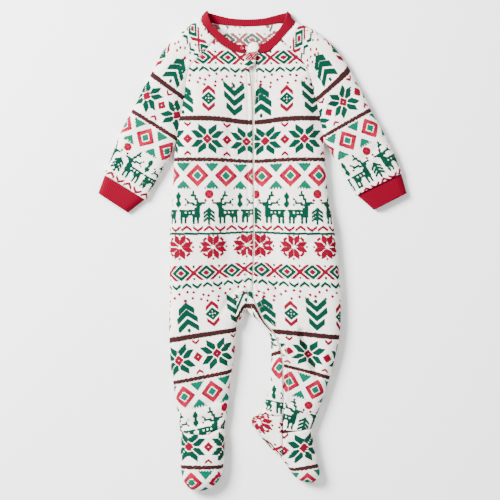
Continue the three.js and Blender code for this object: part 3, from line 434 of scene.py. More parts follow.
collarFolds = [row[:4].reshape(2, 2) for row in collarTable if row[4] == 0.5]
outline = [
    sleeveOuterRight, sleeveInnerRight, sideRight, footRight, inseamRight, inseamLeft, footEdgeLeft,
    instepLeft, sideLeft, sleeveInnerLeft, sleeveOuterLeft,
]
foldLines = collarFolds + [smoothLine(line) for line in outline]
armpitRight, armpitLeft = sideRight[0], sideLeft[-1]
ankleOuterRight, ankleInnerRight = footRight[0], footRight[-1]
ankleOuterLeft, ankleInnerLeft = sideLeft[0], footEdgeLeft[0]
raglan = {
    "frontRight": smoothLine([(-56.9, 316.8), (-71.3, 297.5), (-86.3, 284), (-95.3, 271), (-99.8, 254),
                              (-101.8, 234), (-105.8, 214), (-109.8, 190), armpitRight]),
    "frontLeft": smoothLine([(44.3, 315.8), (59.3, 299), (74.3, 284), (83.3, 270), (89.3, 252), (93, 234),
                             (98.3, 214), (102.8, 190), armpitLeft]),
    "backRight": smoothLine([(-33.8, 337), (-50, 315), (-66, 297), (-80, 281), (-92, 262), (-99, 240),
                             (-105, 214), (-109.5, 190), armpitRight]),
    "backLeft": smoothLine([(19.4, 337.3), (36, 316), (52, 298), (68, 282), (80, 264), (88, 242),
                            (96.5, 214), (102.3, 190), armpitLeft]),
}
sideR, sideL = smoothLine(sideRight), smoothLine(sideLeft)
inseamR, inseamL = smoothLine(inseamRight), smoothLine(inseamLeft)
footR, footL, instepL = smoothLine(footRight), smoothLine(footEdgeLeft), smoothLine(instepLeft)
fork, gussetTip = inseamRight[-1], (-24.2, -122)
heelTop, heelTip, toeLeft = (7, -248.4), (42, -312), footEdgeLeft[-1]
gussetTipOnFold = nearestOn(np.array([gussetTip]), foldLines)[1][0]
gussetSeam = np.concatenate([
    smoothLine([besideZip(-1, 10, 10)[0], (-13, -64), (-20.6, -70), (-24, -80), (-25, -96), (-25.2, -110)]),
    [gussetTipOnFold],
])
ankleRight = smoothLine([
    (-108.6, -272), (-94, -275), (-81.8, -276), (-70.2, -276), (-56.9, -271), (-42.3, -264),
])
ankleLeft = np.array([(45.6, -270), (66, -270.5), (88.5, -267.5)])
heelSeam = np.array([(45.6, -270), (45.2, -285), (45.4, -297), (46, -307.5)])
seamLines = [
    raglan["frontRight"], raglan["frontLeft"], gussetSeam, ankleRight, ankleLeft, heelSeam,
    besideZip(-1, 20, 22), collarSeam, footR, footL, instepL,
    np.array([heelSeam[-1], heelTip]), np.array([heelTop, besideZip(-1, 21, 21)[0]]),
]


# Heights
def loftHeight(x, y):
    # Gaussian-weighted mean of the loft table.
    total = weights = 0
    for spotX, spotY, height in loftTable:
        weight = np.exp(-((x - spotX) ** 2 + (y - spotY) ** 2) / (2 * loftSpread**2)) + 1e-9
        total = total + weight * height
        weights = weights + weight
    return total / weights


def rollShare(distance, roll):
    # A quarter circle from 0 at the fold to 1 where the roll ends.
    return np.sqrt(1 - (1 - np.minimum(distance / roll, 1)) ** 2)


def creaseDepth(points, table):
    # Sum of troughs: each is a Gaussian across its line, deeper in the middle than at its ends.
    depth = np.zeros(points.shape[:-1])
    for x0, y0, x1, y1, deep, width in table:
        step = np.array([x1 - x0, y1 - y0])
        t = np.clip(((points - (x0, y0)) @ step) / (step @ step), 0, 1)
        apart = np.linalg.norm(points - (x0, y0) - t[..., None] * step, axis=-1)
        depth += deep * (0.35 + 0.65 * np.sin(np.pi * (0.15 + 0.7 * t))) * np.exp(-((apart / width) ** 2))
    return depth


def topHeight(points, plain=False):
    # The side seam's height plus the roll up from the fold to the loft, less the creases. The cloth
    # also dips into its seams and along the stitching beside the zip.
    x, y = points[..., 0], points[..., 1]
    loft = loftHeight(x, y)
    rise = rollShare(nearestOn(points, foldLines)[0], topRollShare * loft)
    height = sideSeamShare * loft + seamGap
    height = height + ((1 - sideSeamShare) * loft - creaseDepth(points, creaseTable)) * rise
    if plain:
        return height
    fine = seamLook["crease"] * creaseDepth(points, softCreases)
    seam = nearestOn(points, seamLines)[0]
    besides = nearestOn(points, [zipMiddle[:-1]])[0]
    width = seamLook["width"]
    dip = seamLook["dip"] * np.exp(-((seam / width) ** 2))
    dip -= seamLook["swell"] * np.exp(-(((seam - seamLook["swellAt"]) / width) ** 2))
    fromStitches = (besides - zipLook["stitchAt"]) / seamLook["stitchWidth"]
    stitched = zipLook["stitchDip"] * np.exp(-(fromStitches**2))
    edge = seamLook["edgeDip"] * np.exp(-((besides / width) ** 2))
    return height - (fine + dip + stitched + edge) * np.clip(rise * seamLook["rise"], 0, 1)


def bottomHeight(points):
    # The underside lies on the surface and rolls up to the side seam.
    x, y = points[..., 0], points[..., 1]
    loft = loftHeight(x, y)
    rise = rollShare(nearestOn(points, foldLines)[0], bottomRollShare * loft)
    return (sideSeamShare * loft - seamGap) * (1 - rise)


def foldHeight(points):
    # The side seam lies at a fixed share of the loft.
    return sideSeamShare * loftHeight(points[..., 0], points[..., 1])


# Panels
def rowsOf(*pairs):
    # Both ends of each row, from pairs of lines and the number of rows between them.
    starts, ends = [], []
    for startLine, endLine, count in pairs:
        even = np.isscalar(count)
        shares = np.linspace(0, 1, count + 1)[1 if starts else 0:] if even else np.asarray(count)
        starts.append(resample(startLine, shares))
        ends.append(resample(endLine, shares))
    return np.concatenate(starts), np.concatenate(ends)


def columnShares(widths, foldStart, foldEnd, foldColumns, evenColumns):
    # Columns close together by a fold, where the cloth turns down, and even elsewhere.
    folds = int(foldStart) + int(foldEnd)
    zone = (18 * np.minimum(1, widths / (folds * 24 + 4)) / widths)[:, None]
    turn = (1 - np.cos(np.linspace(0, math.pi / 2, foldColumns + 1)))[None]
    start = zone * turn if foldStart else np.zeros((len(widths), 1))
    end = 1 - (zone * turn)[:, ::-1] if foldEnd else np.ones((len(widths), 1))
    t = np.linspace(0, 1, evenColumns + 1)[None, 1:-1]
    middle = start[:, -1:] + (end[:, :1] - start[:, -1:]) * t
    return np.concatenate([start, middle, end], 1)


def planGrid(rows, evenColumns, foldStart=True, foldEnd=True, foldColumns=12, firstLine=None, lastLine=None,
             fade=5, rowsEach=12):
    # Straight rows between two edges; the first and last rows bend to given lines, fading over some rows.
    starts, ends = rows
    widths = np.linalg.norm(ends - starts, axis=1)
    shares = columnShares(widths, foldStart, foldEnd, foldColumns, evenColumns)
    plan = starts[:, None] + (ends - starts)[:, None] * shares[..., None]
    index = np.arange(len(starts)) / rowsEach
    for line, edge, away in [(firstLine, 0, index), (lastLine, -1, index[::-1])]:
        if line is None:
            continue
        keep = np.clip(1 - away / fade, 0, 1) ** 1.5
        straight = starts[edge] + (ends[edge] - starts[edge]) * shares[..., None]
        plan += (resample(line, shares) - straight) * keep[:, None, None]
    return plan


# How many lines next to a pulled edge are spaced anew.
insetLines = {"start": 5, "end": 5, "first": 3, "last": 3}


def inset(plan, sides, gap=0.4, untilRow=None):
    # Moves a grid's edges inwards, to leave room for a seam, and spaces the lines next to them evenly.
    columns = plan[:untilRow].swapaxes(0, 1)
    edges = {"start": columns, "end": columns[::-1], "first": plan, "last": plan[::-1]}
    for side in sides:
        lines, inner = edges[side], insetLines[side]
        away = lines[inner] - lines[0]
        lines[0] += gap * away / np.maximum(np.linalg.norm(away, axis=-1, keepdims=True), 1e-9)
        t = np.linspace(0, 1, inner + 1)[1:-1, None, None]
        lines[1:inner] = lines[0] + (lines[inner] - lines[0]) * t
    return plan


def lift(plan, height):
    # A plan's points at a face's height.
    return np.concatenate([plan, height(plan)[..., None]], -1)


def meshFrom(name, points, quads, materials):
    # A mesh object at the origin, from points in millimetres.
    mesh = bpy.data.meshes.new(name)
    mesh.from_pydata(metres(points).reshape(-1, 3), [], quads if isinstance(quads, list) else quads.tolist())
    for material in materials:
        mesh.materials.append(material)
    mesh.polygons.foreach_set("use_smooth", np.ones(len(mesh.polygons), bool))
    mesh.update()
    piece = bpy.data.objects.new(name, mesh)
    bpy.context.scene.collection.objects.link(piece)
    return piece


def joined(grid):
    # A grid with its first column again at the end, for a closed ring.
    return np.concatenate([grid, grid[:, :1]], 1)


def gridQuads(ids, flip):
    # A face between each two rows and columns; flip turns them over.
    a, b, d, e = ids[:-1, :-1], ids[:-1, 1:], ids[1:, :-1], ids[1:, 1:]
    order = [a, b, e, d] if flip else [a, d, e, b]
    return np.stack(order, -1).reshape(-1, 4)


def thicken(piece, wall, inside=1):
    # A wall inwards from the face, lined with another material slot.
    wallModifier = piece.modifiers.new("wall", "SOLIDIFY")
    wallModifier.thickness = wall / 1000
    wallModifier.offset = -1
    wallModifier.material_offset = inside
    wallModifier.material_offset_rim = 0
    return piece


def attach(piece, slot, *nodes):
    # Rides on the one body and stands for its solid.
    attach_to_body(piece, "root")
    if nodes:
        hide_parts(*nodes)
    return piece


# Print: one repeat of the knitted-look pattern, measured down from the middle of the diamond row. First how
# often each motif comes, then how far down each band's middle lies.
repeat = {"top": -9, "height": 212.0, "stitch": 1.92, "diamonds": 25.4, "dots": 51, "trees": 102.8,
          "stars": 39.2, "redDiamonds": 28.5, "deer": 61.5, "medallions": 33.4}
bands = {"greenZigzag": 12, "trees": 41, "firstStripe": 61, "stars": 80.9, "secondStripe": 101.3,
         "redDiamonds": 117.1, "balls": 135.6, "plants": 141.5, "redZigzag": 170, "thinLine": 174.9,
         "medallions": 187.8}
# Trees: place in the row, 1 for a tip up, the arms' tips and reach, and the arms' slope.
treeTable = [
    (0, 1, ((-11, 8), (-4, 10.4), (4.7, 10.4)), 0.78),
    (2, -1, ((-12.3, 8), (-3.2, 10.5), (6, 10.5)), 0.88),
]
dotTable = [
    (4.7, 18.5), (12.1, 16.6), (22.1, 18.8), (17.1, 22), (0.2, 22.5), (10.2, 24.4), (9.3, 28.3), (27.1, 25.5),
    (26, 29.2), (30.4, 17.5), (36.6, 18.2), (35.2, 23.6), (46.1, 21.2), (43.5, 25.2), (49.7, 27.3),
]
# Half of the deer row down to the legs, from the middle of the ball to the middle of the plant.
deerChart = [
    "        #        ", "        #       #", "       ###     ##", "       #       ##", "      ##    #   #",
    "      #    #    #", "  ##### ####   ##", "    #####   #  ##", "     ##         #", "     ###         ",
    "     ########### ", "     ### # # ##  ", "     ##########  ", "     ####  ####  ",
]
deerCells = np.array([[mark == "#" for mark in row] for row in deerChart])
deerLook = {"top": 132.2, "row": 1.9, "legs": (11.1, 15.3, 23.5, 27.4), "legHalf": 1.1, "legEnd": 165.2}


def wrapped(value, period):
    # The nearest distance to a multiple of the period, with its sign.
    return (value + period / 2) % period - period / 2


def zigzag(u, v, period, height, stroke):
    # Peaks and dips in turn, each half a period wide, with a break from a low end to a high start.
    half = period / 2
    piece = np.floor(u / half + 0.5)
    x = 2 * np.abs(u - piece * half) / half
    return (np.abs(v - np.where(piece % 2, -1, 1) * height * (x - 0.5)) <= stroke / 2) & (x < 0.93)


def around(u, v, centre, period, middle=0.0):
    # Distances across and down from the nearest motif's middle.
    return np.abs(wrapped(u - centre, period)), np.abs(v - middle)


def drawDiamonds(u, v, phase, inks):
    # Diamonds and crosses, the green zigzag and scattered dots.
    every = repeat["diamonds"]
    x, y = around(u, v, phase["diamond"], every)
    reach = x / 8.6 + y / 6.6
    inks["green"] |= (reach < 1.08) & (reach > 0.58)
    inks["red"] |= x / 3.6 + y / 2.7 < 1
    x, y = around(u, v, phase["diamond"] + every / 2, every)
    inks["red"] |= (np.abs(x / 7.5 - y / 6.3) < 0.26) & (y < 6.9)
    inks["green"] |= (x < 1) & (np.abs(y - 5.6) < 1.1)
    inks["green"] |= zigzag(u - phase["diamond"], v - bands["greenZigzag"], 20.8, 3.8, 2.8)
    for dotX, dotV in dotTable:
        x, y = around(u, v, phase["diamond"] + dotX, repeat["dots"], dotV)
        inks["red"] |= x + y < 1.75


def drawTrees(u, v, phase, inks):
    # Trees as stacks of chevrons, and ornaments between them.
    every = repeat["trees"]
    for index, turned, tips, slope in treeTable:
        x = around(u, v, phase["tree"] + index * every / 4, every)[0]
        y = (v - bands["trees"]) * turned
        for tip, arm in tips:
            inks["green"] |= (np.abs(y - tip - slope * x) < 3.1) & (x < arm)
        inks["green"] |= (x < 1.4) & (np.abs(y - 13.8) < 1.9)
        if turned > 0:
            inks["red"] |= (x < 1.5) & (np.abs(y + 15.3) < 1.4)
    x, y = around(u, v, phase["tree"] + every / 4, every / 2, bands["trees"])
    holes = (x + y < 1) | (np.abs(x - 2.7) + y < 0.9) | (x + np.abs(y - 2.7) < 0.9)
    inks["green"] |= (x / 7.2 + y / 6.2 < 1.05) & ~holes
    inks["red"] |= (np.abs(y - 11.3 + 0.92 * x) < 2.2) & (x < 6.4)


def drawStripes(u, v, inks):
    # The first stripe has red stitches at its edges, the second slanted ones all through.
    first = np.abs(v - bands["firstStripe"])
    edgeRed = (first > 1.8) & (first < 2.7) & ((u / 4) % 1 < 0.35)
    second = np.abs(v - bands["secondStripe"]) < 2.1
    slant = ((u + 1.2 * v) / 4.4) % 1 < 0.24
    inks["red"] |= edgeRed | (second & slant)
    inks["brown"] |= ((first < 2.6) & ~edgeRed) | (second & ~slant)


def drawStars(u, v, phase, inks):
    # Eight-petalled stars with small flowers and ticks between them.
    every, middle = repeat["stars"], bands["stars"]
    x, y = around(u, v, phase["star"], every, middle)
    far, near = np.maximum(x / 1.13, y), np.minimum(x / 1.13, y)
    petals = (near > 0.75) & (near < 8.2) & (far > near + 0.8) & (far < 9.3 + 0.78 * (near - 1))
    inks["green"] |= petals & (x + y > 6.2)
    inks["red"] |= (x + y < 5) & (x + y > 0.8)
    x, y = around(u, v, phase["star"] + every / 2, every, middle)
    inks["red"] |= (x + y < 5) & (x + y > 0.9)
    inks["red"] |= (np.abs(y - 12.9 - 0.85 * x) < 1.3) & (x < 3.6)


def drawRedDiamonds(u, v, phase, inks):
    # Red diamonds with a green core, and serrated green triangles in the gaps.
    every, stitch = repeat["redDiamonds"], repeat["stitch"]
    x, y = around(u, v, phase["redDiamond"], every, bands["redDiamonds"])
    ring = (x + y < 11.4) & (x + y > 5.7)
    odd = (np.floor(u / stitch) + np.floor(v / stitch)) % 2 == 1
    inks["red"] |= ring
    inks["pale"] |= ring & (x < 8) & ~(odd & (x > 3) & (y > 1))
    core = x + y < 4.3
    y = v - bands["redDiamonds"]
    x = around(u, v, phase["redDiamond"] + every / 2, every)[0]
    serrated = ((u / 2.9) % 1 > 0.35) | (np.abs(y) < 11.6)
    upper = (y > -12.6) & (y < -3.8) & (x < 0.84 * (-3.4 - y)) & serrated
    lower = (y > 4.8) & (y < 13.4) & (x < 0.9 * (y - 4.4)) & serrated
    for ink in ("green", "pale"):
        inks[ink] |= core | upper | lower


def drawDeer(u, v, phase, inks):
    # Deer from the chart on four legs, with a ball, a small tree and a plant between them.
    x, y = around(u, v, phase["ball"], repeat["deer"], bands["balls"])
    rows = np.floor((v - deerLook["top"]) / deerLook["row"]).astype(int)
    cells = np.clip(np.floor(x / repeat["stitch"] + 0.3), 0, 16).astype(int)
    inks["green"] |= (rows >= 0) & (rows < 14) & deerCells[np.clip(rows, 0, 13), cells]
    low = (v > 157) & (v < deerLook["legEnd"])
    for leg in deerLook["legs"]:
        inks["green"] |= low & (np.abs(x - leg) < deerLook["legHalf"])
    ball = x**2 + y**2 < 4.3**2
    inks["red"] |= ball | (np.abs(x - 3.6) + np.abs(v - 141.9) < 1.7)
    inks["pale"] |= ball & (np.abs(x - y) < 0.7)
    branch = v - 149.2 - 0.75 * x
    inks["green"] |= (branch >= 0) & (branch < 11.7) & (branch % 3.9 < 2.8) & (x < 5.8)
    inks["green"] |= (x < 1.1) & (v > 149) & (v < 166)
    x, y = around(u, v, phase["ball"] + repeat["deer"] / 2, repeat["deer"], bands["plants"])
    inks["green"] |= (x < 1.2) & (y < 7.6)


def drawMedallions(u, v, phase, inks):
    # The red zigzag, the thin green line, and medallions of eight leaves with dots round them.
    inks["red"] |= zigzag(u - phase["ball"], v - bands["redZigzag"], 22.4, 4.3, 2.8)
    inks["green"] |= np.abs(v - bands["thinLine"]) < 1.1
    x, y = around(u, v, phase["medallion"], repeat["medallions"], bands["medallions"])
    y = y / 0.88
    far, near = np.maximum(x, y), np.minimum(x, y)
    inks["red"] |= (near > 0.45) & (near < 5.6) & (far > near + 0.7) & (far < 10 + 0.7 * near)
    inks["red"] |= (np.abs(far - 13.2) + near < 1.6) | (np.abs(far - 9.3) + np.abs(near - 7.6) < 1.8)


def printInks(u, v, phase):
    # Coverage by red, green and brown, and how pale the thread is, at u across and v down the cloth. All
    # measures are in the picture's pixels, 1.5 mm each, mostly from the middle of a motif.
    v = (v - repeat["top"]) % repeat["height"] + repeat["top"]
    inks = {ink: np.zeros(u.shape, bool) for ink in ("red", "green", "brown", "pale")}
    for draw in (drawDiamonds, drawTrees, drawStars, drawRedDiamonds, drawDeer, drawMedallions):
        draw(u, v, phase, inks)
    drawStripes(u, v, inks)
    inks["red"] &= ~inks["green"]
    return np.stack(list(inks.values()), -1).astype(float)


def place(turn=0.0, origin=(0, 0), rows=((0, 0),), tilt=((0, 0),), pivot=0.0, shift=((0, 0),), widen=1.0,
          droop=False, arch=0.0, phase=None):
    # How a piece's cloth was cut: the direction of its rows and where each band and motif falls.
    return dict(turn=turn, origin=origin, rows=rows, tilt=tilt, pivot=pivot, shift=shift, widen=widen,
                droop=droop, arch=arch, phase=phase)


def phases(diamond, tree, star, redDiamond, ball, medallion):
    # Where each band's first motif falls, across the piece.
    return dict(diamond=diamond, tree=tree, star=star, redDiamond=redDiamond, ball=ball, medallion=medallion)


def table(value, pairs):
    # Straight lines between the pairs' values.
    return np.interp(value, [p[0] for p in pairs], [p[1] for p in pairs])


torsoRows = ((58, 57.2), (117, 57.2), (140, 58), (232, 58.9), (270, 59.9))
rightPhase = phases(206.3, 183, 207.4, 197.6, 209.2, 213.4)
leftPhase = phases(261.4, 261, 265.2, 261.8, 255.8, 260.3)
printPlaces = {
    "front_right": place(
        rows=(*torsoRows, (300, 58), (335, 56), (380, 56.5)),
        tilt=((262, 0), (300, -0.1), (335, -0.152), (365, -0.19), (400, -0.2)),
        pivot=240, shift=((58, -3.8), (90, 0), (270, 0), (313, 3.8), (357, 10.4), (400, 15.8), (430, 18)),
        droop=True, phase=rightPhase),
    "front_left": place(
        rows=(*torsoRows, (300, 61.8), (352, 61), (372, 57.3), (390, 58), (405, 56.5)),
        tilt=((275, 0), (300, 0.04), (331, 0.098), (341, 0.1), (362, 0.29), (378, 0.3)), pivot=306,
        shift=((58, -3.5), (90, 0), (270, 0), (313, 4.5), (354, 4), (385, -2), (405, -9), (430, -15)),
        droop=True, phase=leftPhase),
    "back_panel": place(rows=((0, 39),), phase=phases(252, 250, 252, 252, 252, 240)),
    "sleeve_right": place(
        turn=math.atan2(0.53, 0.85), origin=(190, 40), rows=((0, -10.5), (110, -10.5), (142, -14)),
        tilt=((0, 0.59), (50, 0.08), (70, 0)), pivot=-3, widen=1 / 0.91,
        phase=phases(-4.5, 6, -7.8, 15.4, 4.3, 8)),
    "sleeve_left": place(
        turn=-math.atan2(0.53, 0.85), origin=(314, 40), rows=((0, -12), (110, -13.2)),
        tilt=((0, -0.72), (49, -0.165), (88, 0.05)), pivot=-8, widen=1 / 0.9,
        phase=phases(-13.5, -8, -9.1, 0.9, -16, -8)),
    "crotch_gusset": place(
        rows=((306, 245), (353, 252), (368, 250.6), (392, 251.5), (417, 246.5)),
        tilt=((330, 0), (350, -0.3), (370, -0.2), (400, 0.25)), pivot=276, arch=1.5,
        phase=phases(250, 246, 262, 279.2, 243, 262)),
    "heel_left": place(rows=((0, 234),), tilt=((0, 0.3),), pivot=262,
                       phase=phases(262, 250, 261, 262, 262, 259)),
    "vamp_right": place(rows=((0, 365.3),), phase=phases(190, 190, 189, 191.5, 190, 190)),
    "vamp_left": place(rows=((0, 366.3),), tilt=((0, -0.16),), pivot=303.7,
                       phase=phases(300, 300, 303.7, 307, 300, 300)),
}
for side in ("right", "left"):
    printPlaces["sole_" + side] = printPlaces["vamp_" + side]
foldPull = {"share": 0.27, "power": 8}
zipDroop = {"middle": 252, "width": 26,
            "sag": ((58, 0.8), (118, 4.2), (140, 2.8), (232, -1.8), (270, -3), (300, -1.5), (320, 0))}
forkArch = {"middle": 249, "flat": 5, "fade": ((328, 1), (350, 0))}
samples = [(du, dv) for dv in (-0.27, 0.27) for du in (-0.27, 0.27)]


def printedAt(plan, name):
    # Where the flat cloth's print falls on a laid piece. By a fold the cloth turns down, so the print
    # there is drawn from further out: by a share of the roll at the fold, falling with a high power.
    setting = printPlaces[name]
    loft = loftHeight(plan[..., 0], plan[..., 1])
    distance, feet, _ = nearestOn(plan, foldLines)
    out = (feet - plan) / np.maximum(distance, 1e-6)[..., None]
    roll = topRollShare * loft
    share = np.clip(1 - distance / roll, 0, 1) ** foldPull["power"]
    spread = plan + out * (foldPull["share"] * roll * share)[..., None]
    px, py = pixels(spread[..., 0], spread[..., 1])
    dx, dy = px - setting["origin"][0], py - setting["origin"][1]
    cosine, sine = math.cos(setting["turn"]), math.sin(setting["turn"])
    across, down = dx * cosine + dy * sine, dy * cosine - dx * sine
    v = down - table(down, setting["rows"]) - table(down, setting["tilt"]) * (across - setting["pivot"])
    if setting["droop"]:
        beside = (across - zipDroop["middle"]) / zipDroop["width"]
        v = v - table(down, zipDroop["sag"]) * np.exp(-(beside**2))
    if setting["arch"]:
        beside = np.maximum(np.abs(across - forkArch["middle"]) - forkArch["flat"], 0)
        v = v - setting["arch"] * beside * table(down, forkArch["fade"])
    u = (across - table(down, setting["shift"])) * setting["widen"]
    return sum(printInks(u + du, v + dv, setting["phase"]) for du, dv in samples) / len(samples)


def setInks(piece, inks):
    # The print goes to the points' colours, which the fleece reads.
    colours = piece.data.attributes.new("print", "FLOAT_COLOR", "POINT")
    colours.data.foreach_set("color", np.asarray(inks, np.float32).reshape(-1))


def layCloth(piece, name, **more):
    # Prints a laid piece's face count and own area.
    areas = np.empty(len(piece.data.polygons))
    piece.data.polygons.foreach_get("area", areas)
    print(piece.name, len(areas), "faces,", round(float(areas.sum()), 5), "m2")


def fleecePiece(name, node, points, quads, inks):
    # A printed panel with the fleece's wrong side within.
    piece = meshFrom(name, points, quads, [fleeceFace, fleeceBack])
    setInks(piece, inks)
    thicken(piece, fleeceWall)
    attach(piece, "fleece", node)
    layCloth(piece, node)


def clothPiece(name, grids, node, flip=False, height=topHeight):
    # A fleece panel from one or more plan grids, at the height of the upper or the lower face.
    points, quads, inks, first = [], [], [], 0
    for plan in grids:
        ids = first + np.arange(plan.shape[0] * plan.shape[1]).reshape(plan.shape[:2])
        first += ids.size
        points.append(lift(plan, height).reshape(-1, 3))
        quads.append(gridQuads(ids, flip))
        inks.append(printedAt(plan, node).reshape(-1, 4))
    fleecePiece(name, node, np.concatenate(points), np.concatenate(quads), np.concatenate(inks))


rowsEach = 13
frontColumns = 70
frontRight = planGrid(
    rowsOf(
        (raglan["frontRight"], besideZip(-1, 0, 5), 9 * rowsEach),
        (span(sideR, armpitRight, (-124.7, -62)), besideZip(-1, 5, 10), 10 * rowsEach),
        (span(sideR, (-124.7, -62), (-125.2, -122)), gussetSeam, 8 * rowsEach),
        (span(sideR, (-125.2, -122), ankleOuterRight), span(inseamR, gussetTip, ankleInnerRight),
         9 * rowsEach),
    ),
    frontColumns, firstLine=np.concatenate([neckLine(3, 0), besideZip(-1, 0, 0)]), lastLine=ankleRight,
    rowsEach=rowsEach,
)
clothPiece("front_panel_right", [frontRight], "front_right")

frontLeft = planGrid(
    rowsOf(
        (besideZip(1, 0, 5), raglan["frontLeft"], 9 * rowsEach),
        (besideZip(1, 5, 10), span(sideL, armpitLeft, (132.5, -62)), 10 * rowsEach),
        (besideZip(1, 10, 16), span(sideL, (132.5, -62), (125.5, -155)), 8 * rowsEach),
        (besideZip(1, 16, 22), span(sideL, (125.5, -155), ankleOuterLeft), 9 * rowsEach),
    ),
    frontColumns, firstLine=np.concatenate([besideZip(1, 0, 0), neckLine(22, 19)]), lastLine=ankleLeft,
    rowsEach=rowsEach,
)
clothPiece("front_panel_left", [frontLeft], "front_left")

# Gusset: from a point on the right leg round the fork and down the left leg's inside to the heel.
gussetRowsEach = 12
gussetEdge = resample(gussetSeam, np.linspace(0, 1, 8 * gussetRowsEach + 1))[:-gussetRowsEach][::-1]
gussetFold = resample(span(inseamR, (-22.4, -115), fork), np.linspace(0, 1, len(gussetEdge)))
lower = rowsOf((span(inseamL, fork, heelTop), besideZip(-1, 10, 21), 16 * gussetRowsEach))
gussetRows = (np.concatenate([gussetFold, lower[0][1:]]), np.concatenate([gussetEdge, lower[1][1:]]))
gusset = planGrid(gussetRows, 18, foldEnd=False, foldColumns=8, rowsEach=gussetRowsEach)
inset(gusset, ["end"], 1.1, len(gussetEdge))
clothPiece("gusset_cloth", [gusset], "crotch_gusset")

middleBack = smoothLine([(-7.7, 336), (-5, 300), (-3.4, 230), (-3, 165), (-2.5, 80), (-4, -20), fork])
backMiddleAt = (-3, 165)
backEach = 8
backRight = planGrid(
    rowsOf(
        (raglan["backRight"], span(middleBack, (-7.7, 336), backMiddleAt), 9 * backEach),
        (span(sideR, armpitRight, (-125.1, -90)), span(middleBack, backMiddleAt, fork), 10 * backEach),
        (span(sideR, (-125.1, -90), ankleOuterRight), span(inseamR, fork, ankleInnerRight), 9 * backEach),
    ),
    38, foldColumns=8, firstLine=neckLine(10, 11), rowsEach=backEach,
)
backLeft = planGrid(
    rowsOf(
        (span(middleBack, (-7.7, 336), backMiddleAt), raglan["backLeft"], 9 * backEach),
        (span(middleBack, backMiddleAt, fork), span(sideL, armpitLeft, (132.7, -88)), 10 * backEach),
        (span(inseamL, fork, ankleInnerLeft), span(sideL, (132.7, -88), ankleOuterLeft), 9 * backEach),
    ),
    38, foldColumns=8, firstLine=neckLine(11, 12), rowsEach=backEach,
)
clothPiece("back_cloth", [backRight, backLeft], "back_panel", flip=True, height=bottomHeight)
print("body panels made")


def sleevePiece(name, node, front, back, outer, outerAtArmpit, inner, frontLine, backLine, flip):
    # A tube: over the top from the raglan or the inner fold to the outer fold, and back underneath.
    outerLine, innerLine = smoothLine(outer), smoothLine(inner)
    armSpan = span(outerLine, outerLine[0], outerAtArmpit)
    lowSpan = span(outerLine, outerAtArmpit, outerLine[-1])
    each, sides = 13, []
    for seam, firstLine in [(front, frontLine), (back, backLine)]:
        rows = rowsOf((seam, armSpan, 9 * each), (innerLine, lowSpan, 6 * each))
        plan = planGrid(rows, 38, foldColumns=10, firstLine=firstLine, rowsEach=each)
        sides.append(inset(plan, ["start"], 0.4, 9 * each))
    top, under = lift(sides[0], topHeight), lift(sides[1], bottomHeight)
    top[:, -1, 2] = foldHeight(top[:, -1, :2])
    low = 9 * each
    top[low, 0, :2] += (math.copysign(0.6, top[low, 0, 0]), -0.6)
    top[low:, 0, 2] = foldHeight(top[low:, 0, :2])
    loop = np.concatenate([top, under[:, ::-1][:, 1:]], 1)
    ids = np.arange(loop.shape[0] * loop.shape[1]).reshape(loop.shape[:2])
    ids[low:, -1] = ids[low:, 0]
    fleecePiece(name, node, loop, gridQuads(ids, flip), printedAt(loop[..., :2], node))


sleevePiece("sleeve_cloth_right", "sleeve_right", raglan["frontRight"], raglan["backRight"], sleeveOuterRight,
            (-181, 210), sleeveInnerRight, neckLine(3, 6), neckLine(10, 6), True)
sleevePiece("sleeve_cloth_left", "sleeve_left", raglan["frontLeft"], raglan["backLeft"], sleeveOuterLeft,
            (174, 216), sleeveInnerLeft, neckLine(19, 16), neckLine(12, 16), False)
print("sleeves made")

# Feet
footEach = 10


def shareRows(shares):
    # Rows at the given shares of a foot's length, with finer ones between them.
    count = len(shares) - 1
    return np.interp(np.linspace(0, count, count * footEach + 1), np.arange(count + 1), shares)


toeRows = shareRows([0, 0.14, 0.28, 0.42, 0.55, 0.67, 0.78, 0.87, 0.935, 0.98, 1])
toeOuterRight, toeInnerRight, toeInnerLeft = footRight[6], footRight[8], (78, -348.3)
footSides = {
    "right": (span(footR, ankleOuterRight, toeOuterRight), span(footR, ankleInnerRight, toeInnerRight),
              span(footR, toeOuterRight, toeInnerRight)),
    "left": (span(footL, ankleInnerLeft, toeInnerLeft), span(instepL, ankleOuterLeft, toeLeft),
             span(footL, toeInnerLeft, toeLeft)),
}
feet = {"foldColumns": 8, "lastLine": footSides["right"][2], "fade": 4, "rowsEach": footEach}
vampRight = planGrid(rowsOf((*footSides["right"][:2], toeRows)), 36, firstLine=ankleRight, **feet)
clothPiece("vamp_cloth_right", [inset(vampRight, ["first"], 0.7)], "vamp_right")
soleRight = planGrid(rowsOf((*footSides["right"][:2], toeRows)), 26, **feet)
clothPiece("sole_cloth_right", [inset(soleRight, ["first"], 0.7)], "sole_right",
           flip=True, height=bottomHeight)
instepTurn = ((95.3, -310.5), (96.4, -314.8))
heelTipOnFold = nearestOn(np.array([heelTip]), foldLines)[1]
vampLeft = planGrid(
    rowsOf(
        (heelSeam, span(instepL, ankleOuterLeft, instepTurn[0]), 6 * footEach),
        (np.concatenate([heelSeam[-1:], heelTipOnFold]), span(instepL, *instepTurn), footEach),
        (span(footL, heelTip, toeInnerLeft), span(instepL, instepTurn[1], toeLeft),
         shareRows([0, 0.25, 0.5, 0.7, 0.85, 0.95, 1])[1:]),
    ),
    30, firstLine=ankleLeft, lastLine=footSides["left"][2], foldColumns=8, fade=5, rowsEach=footEach,
)
clothPiece("vamp_cloth_left", [inset(vampLeft, ["first"], 0.7)], "vamp_left")
soleLeft = planGrid(rowsOf((*footSides["left"][:2], toeRows)), 34,
                    **{**feet, "lastLine": footSides["left"][2]})
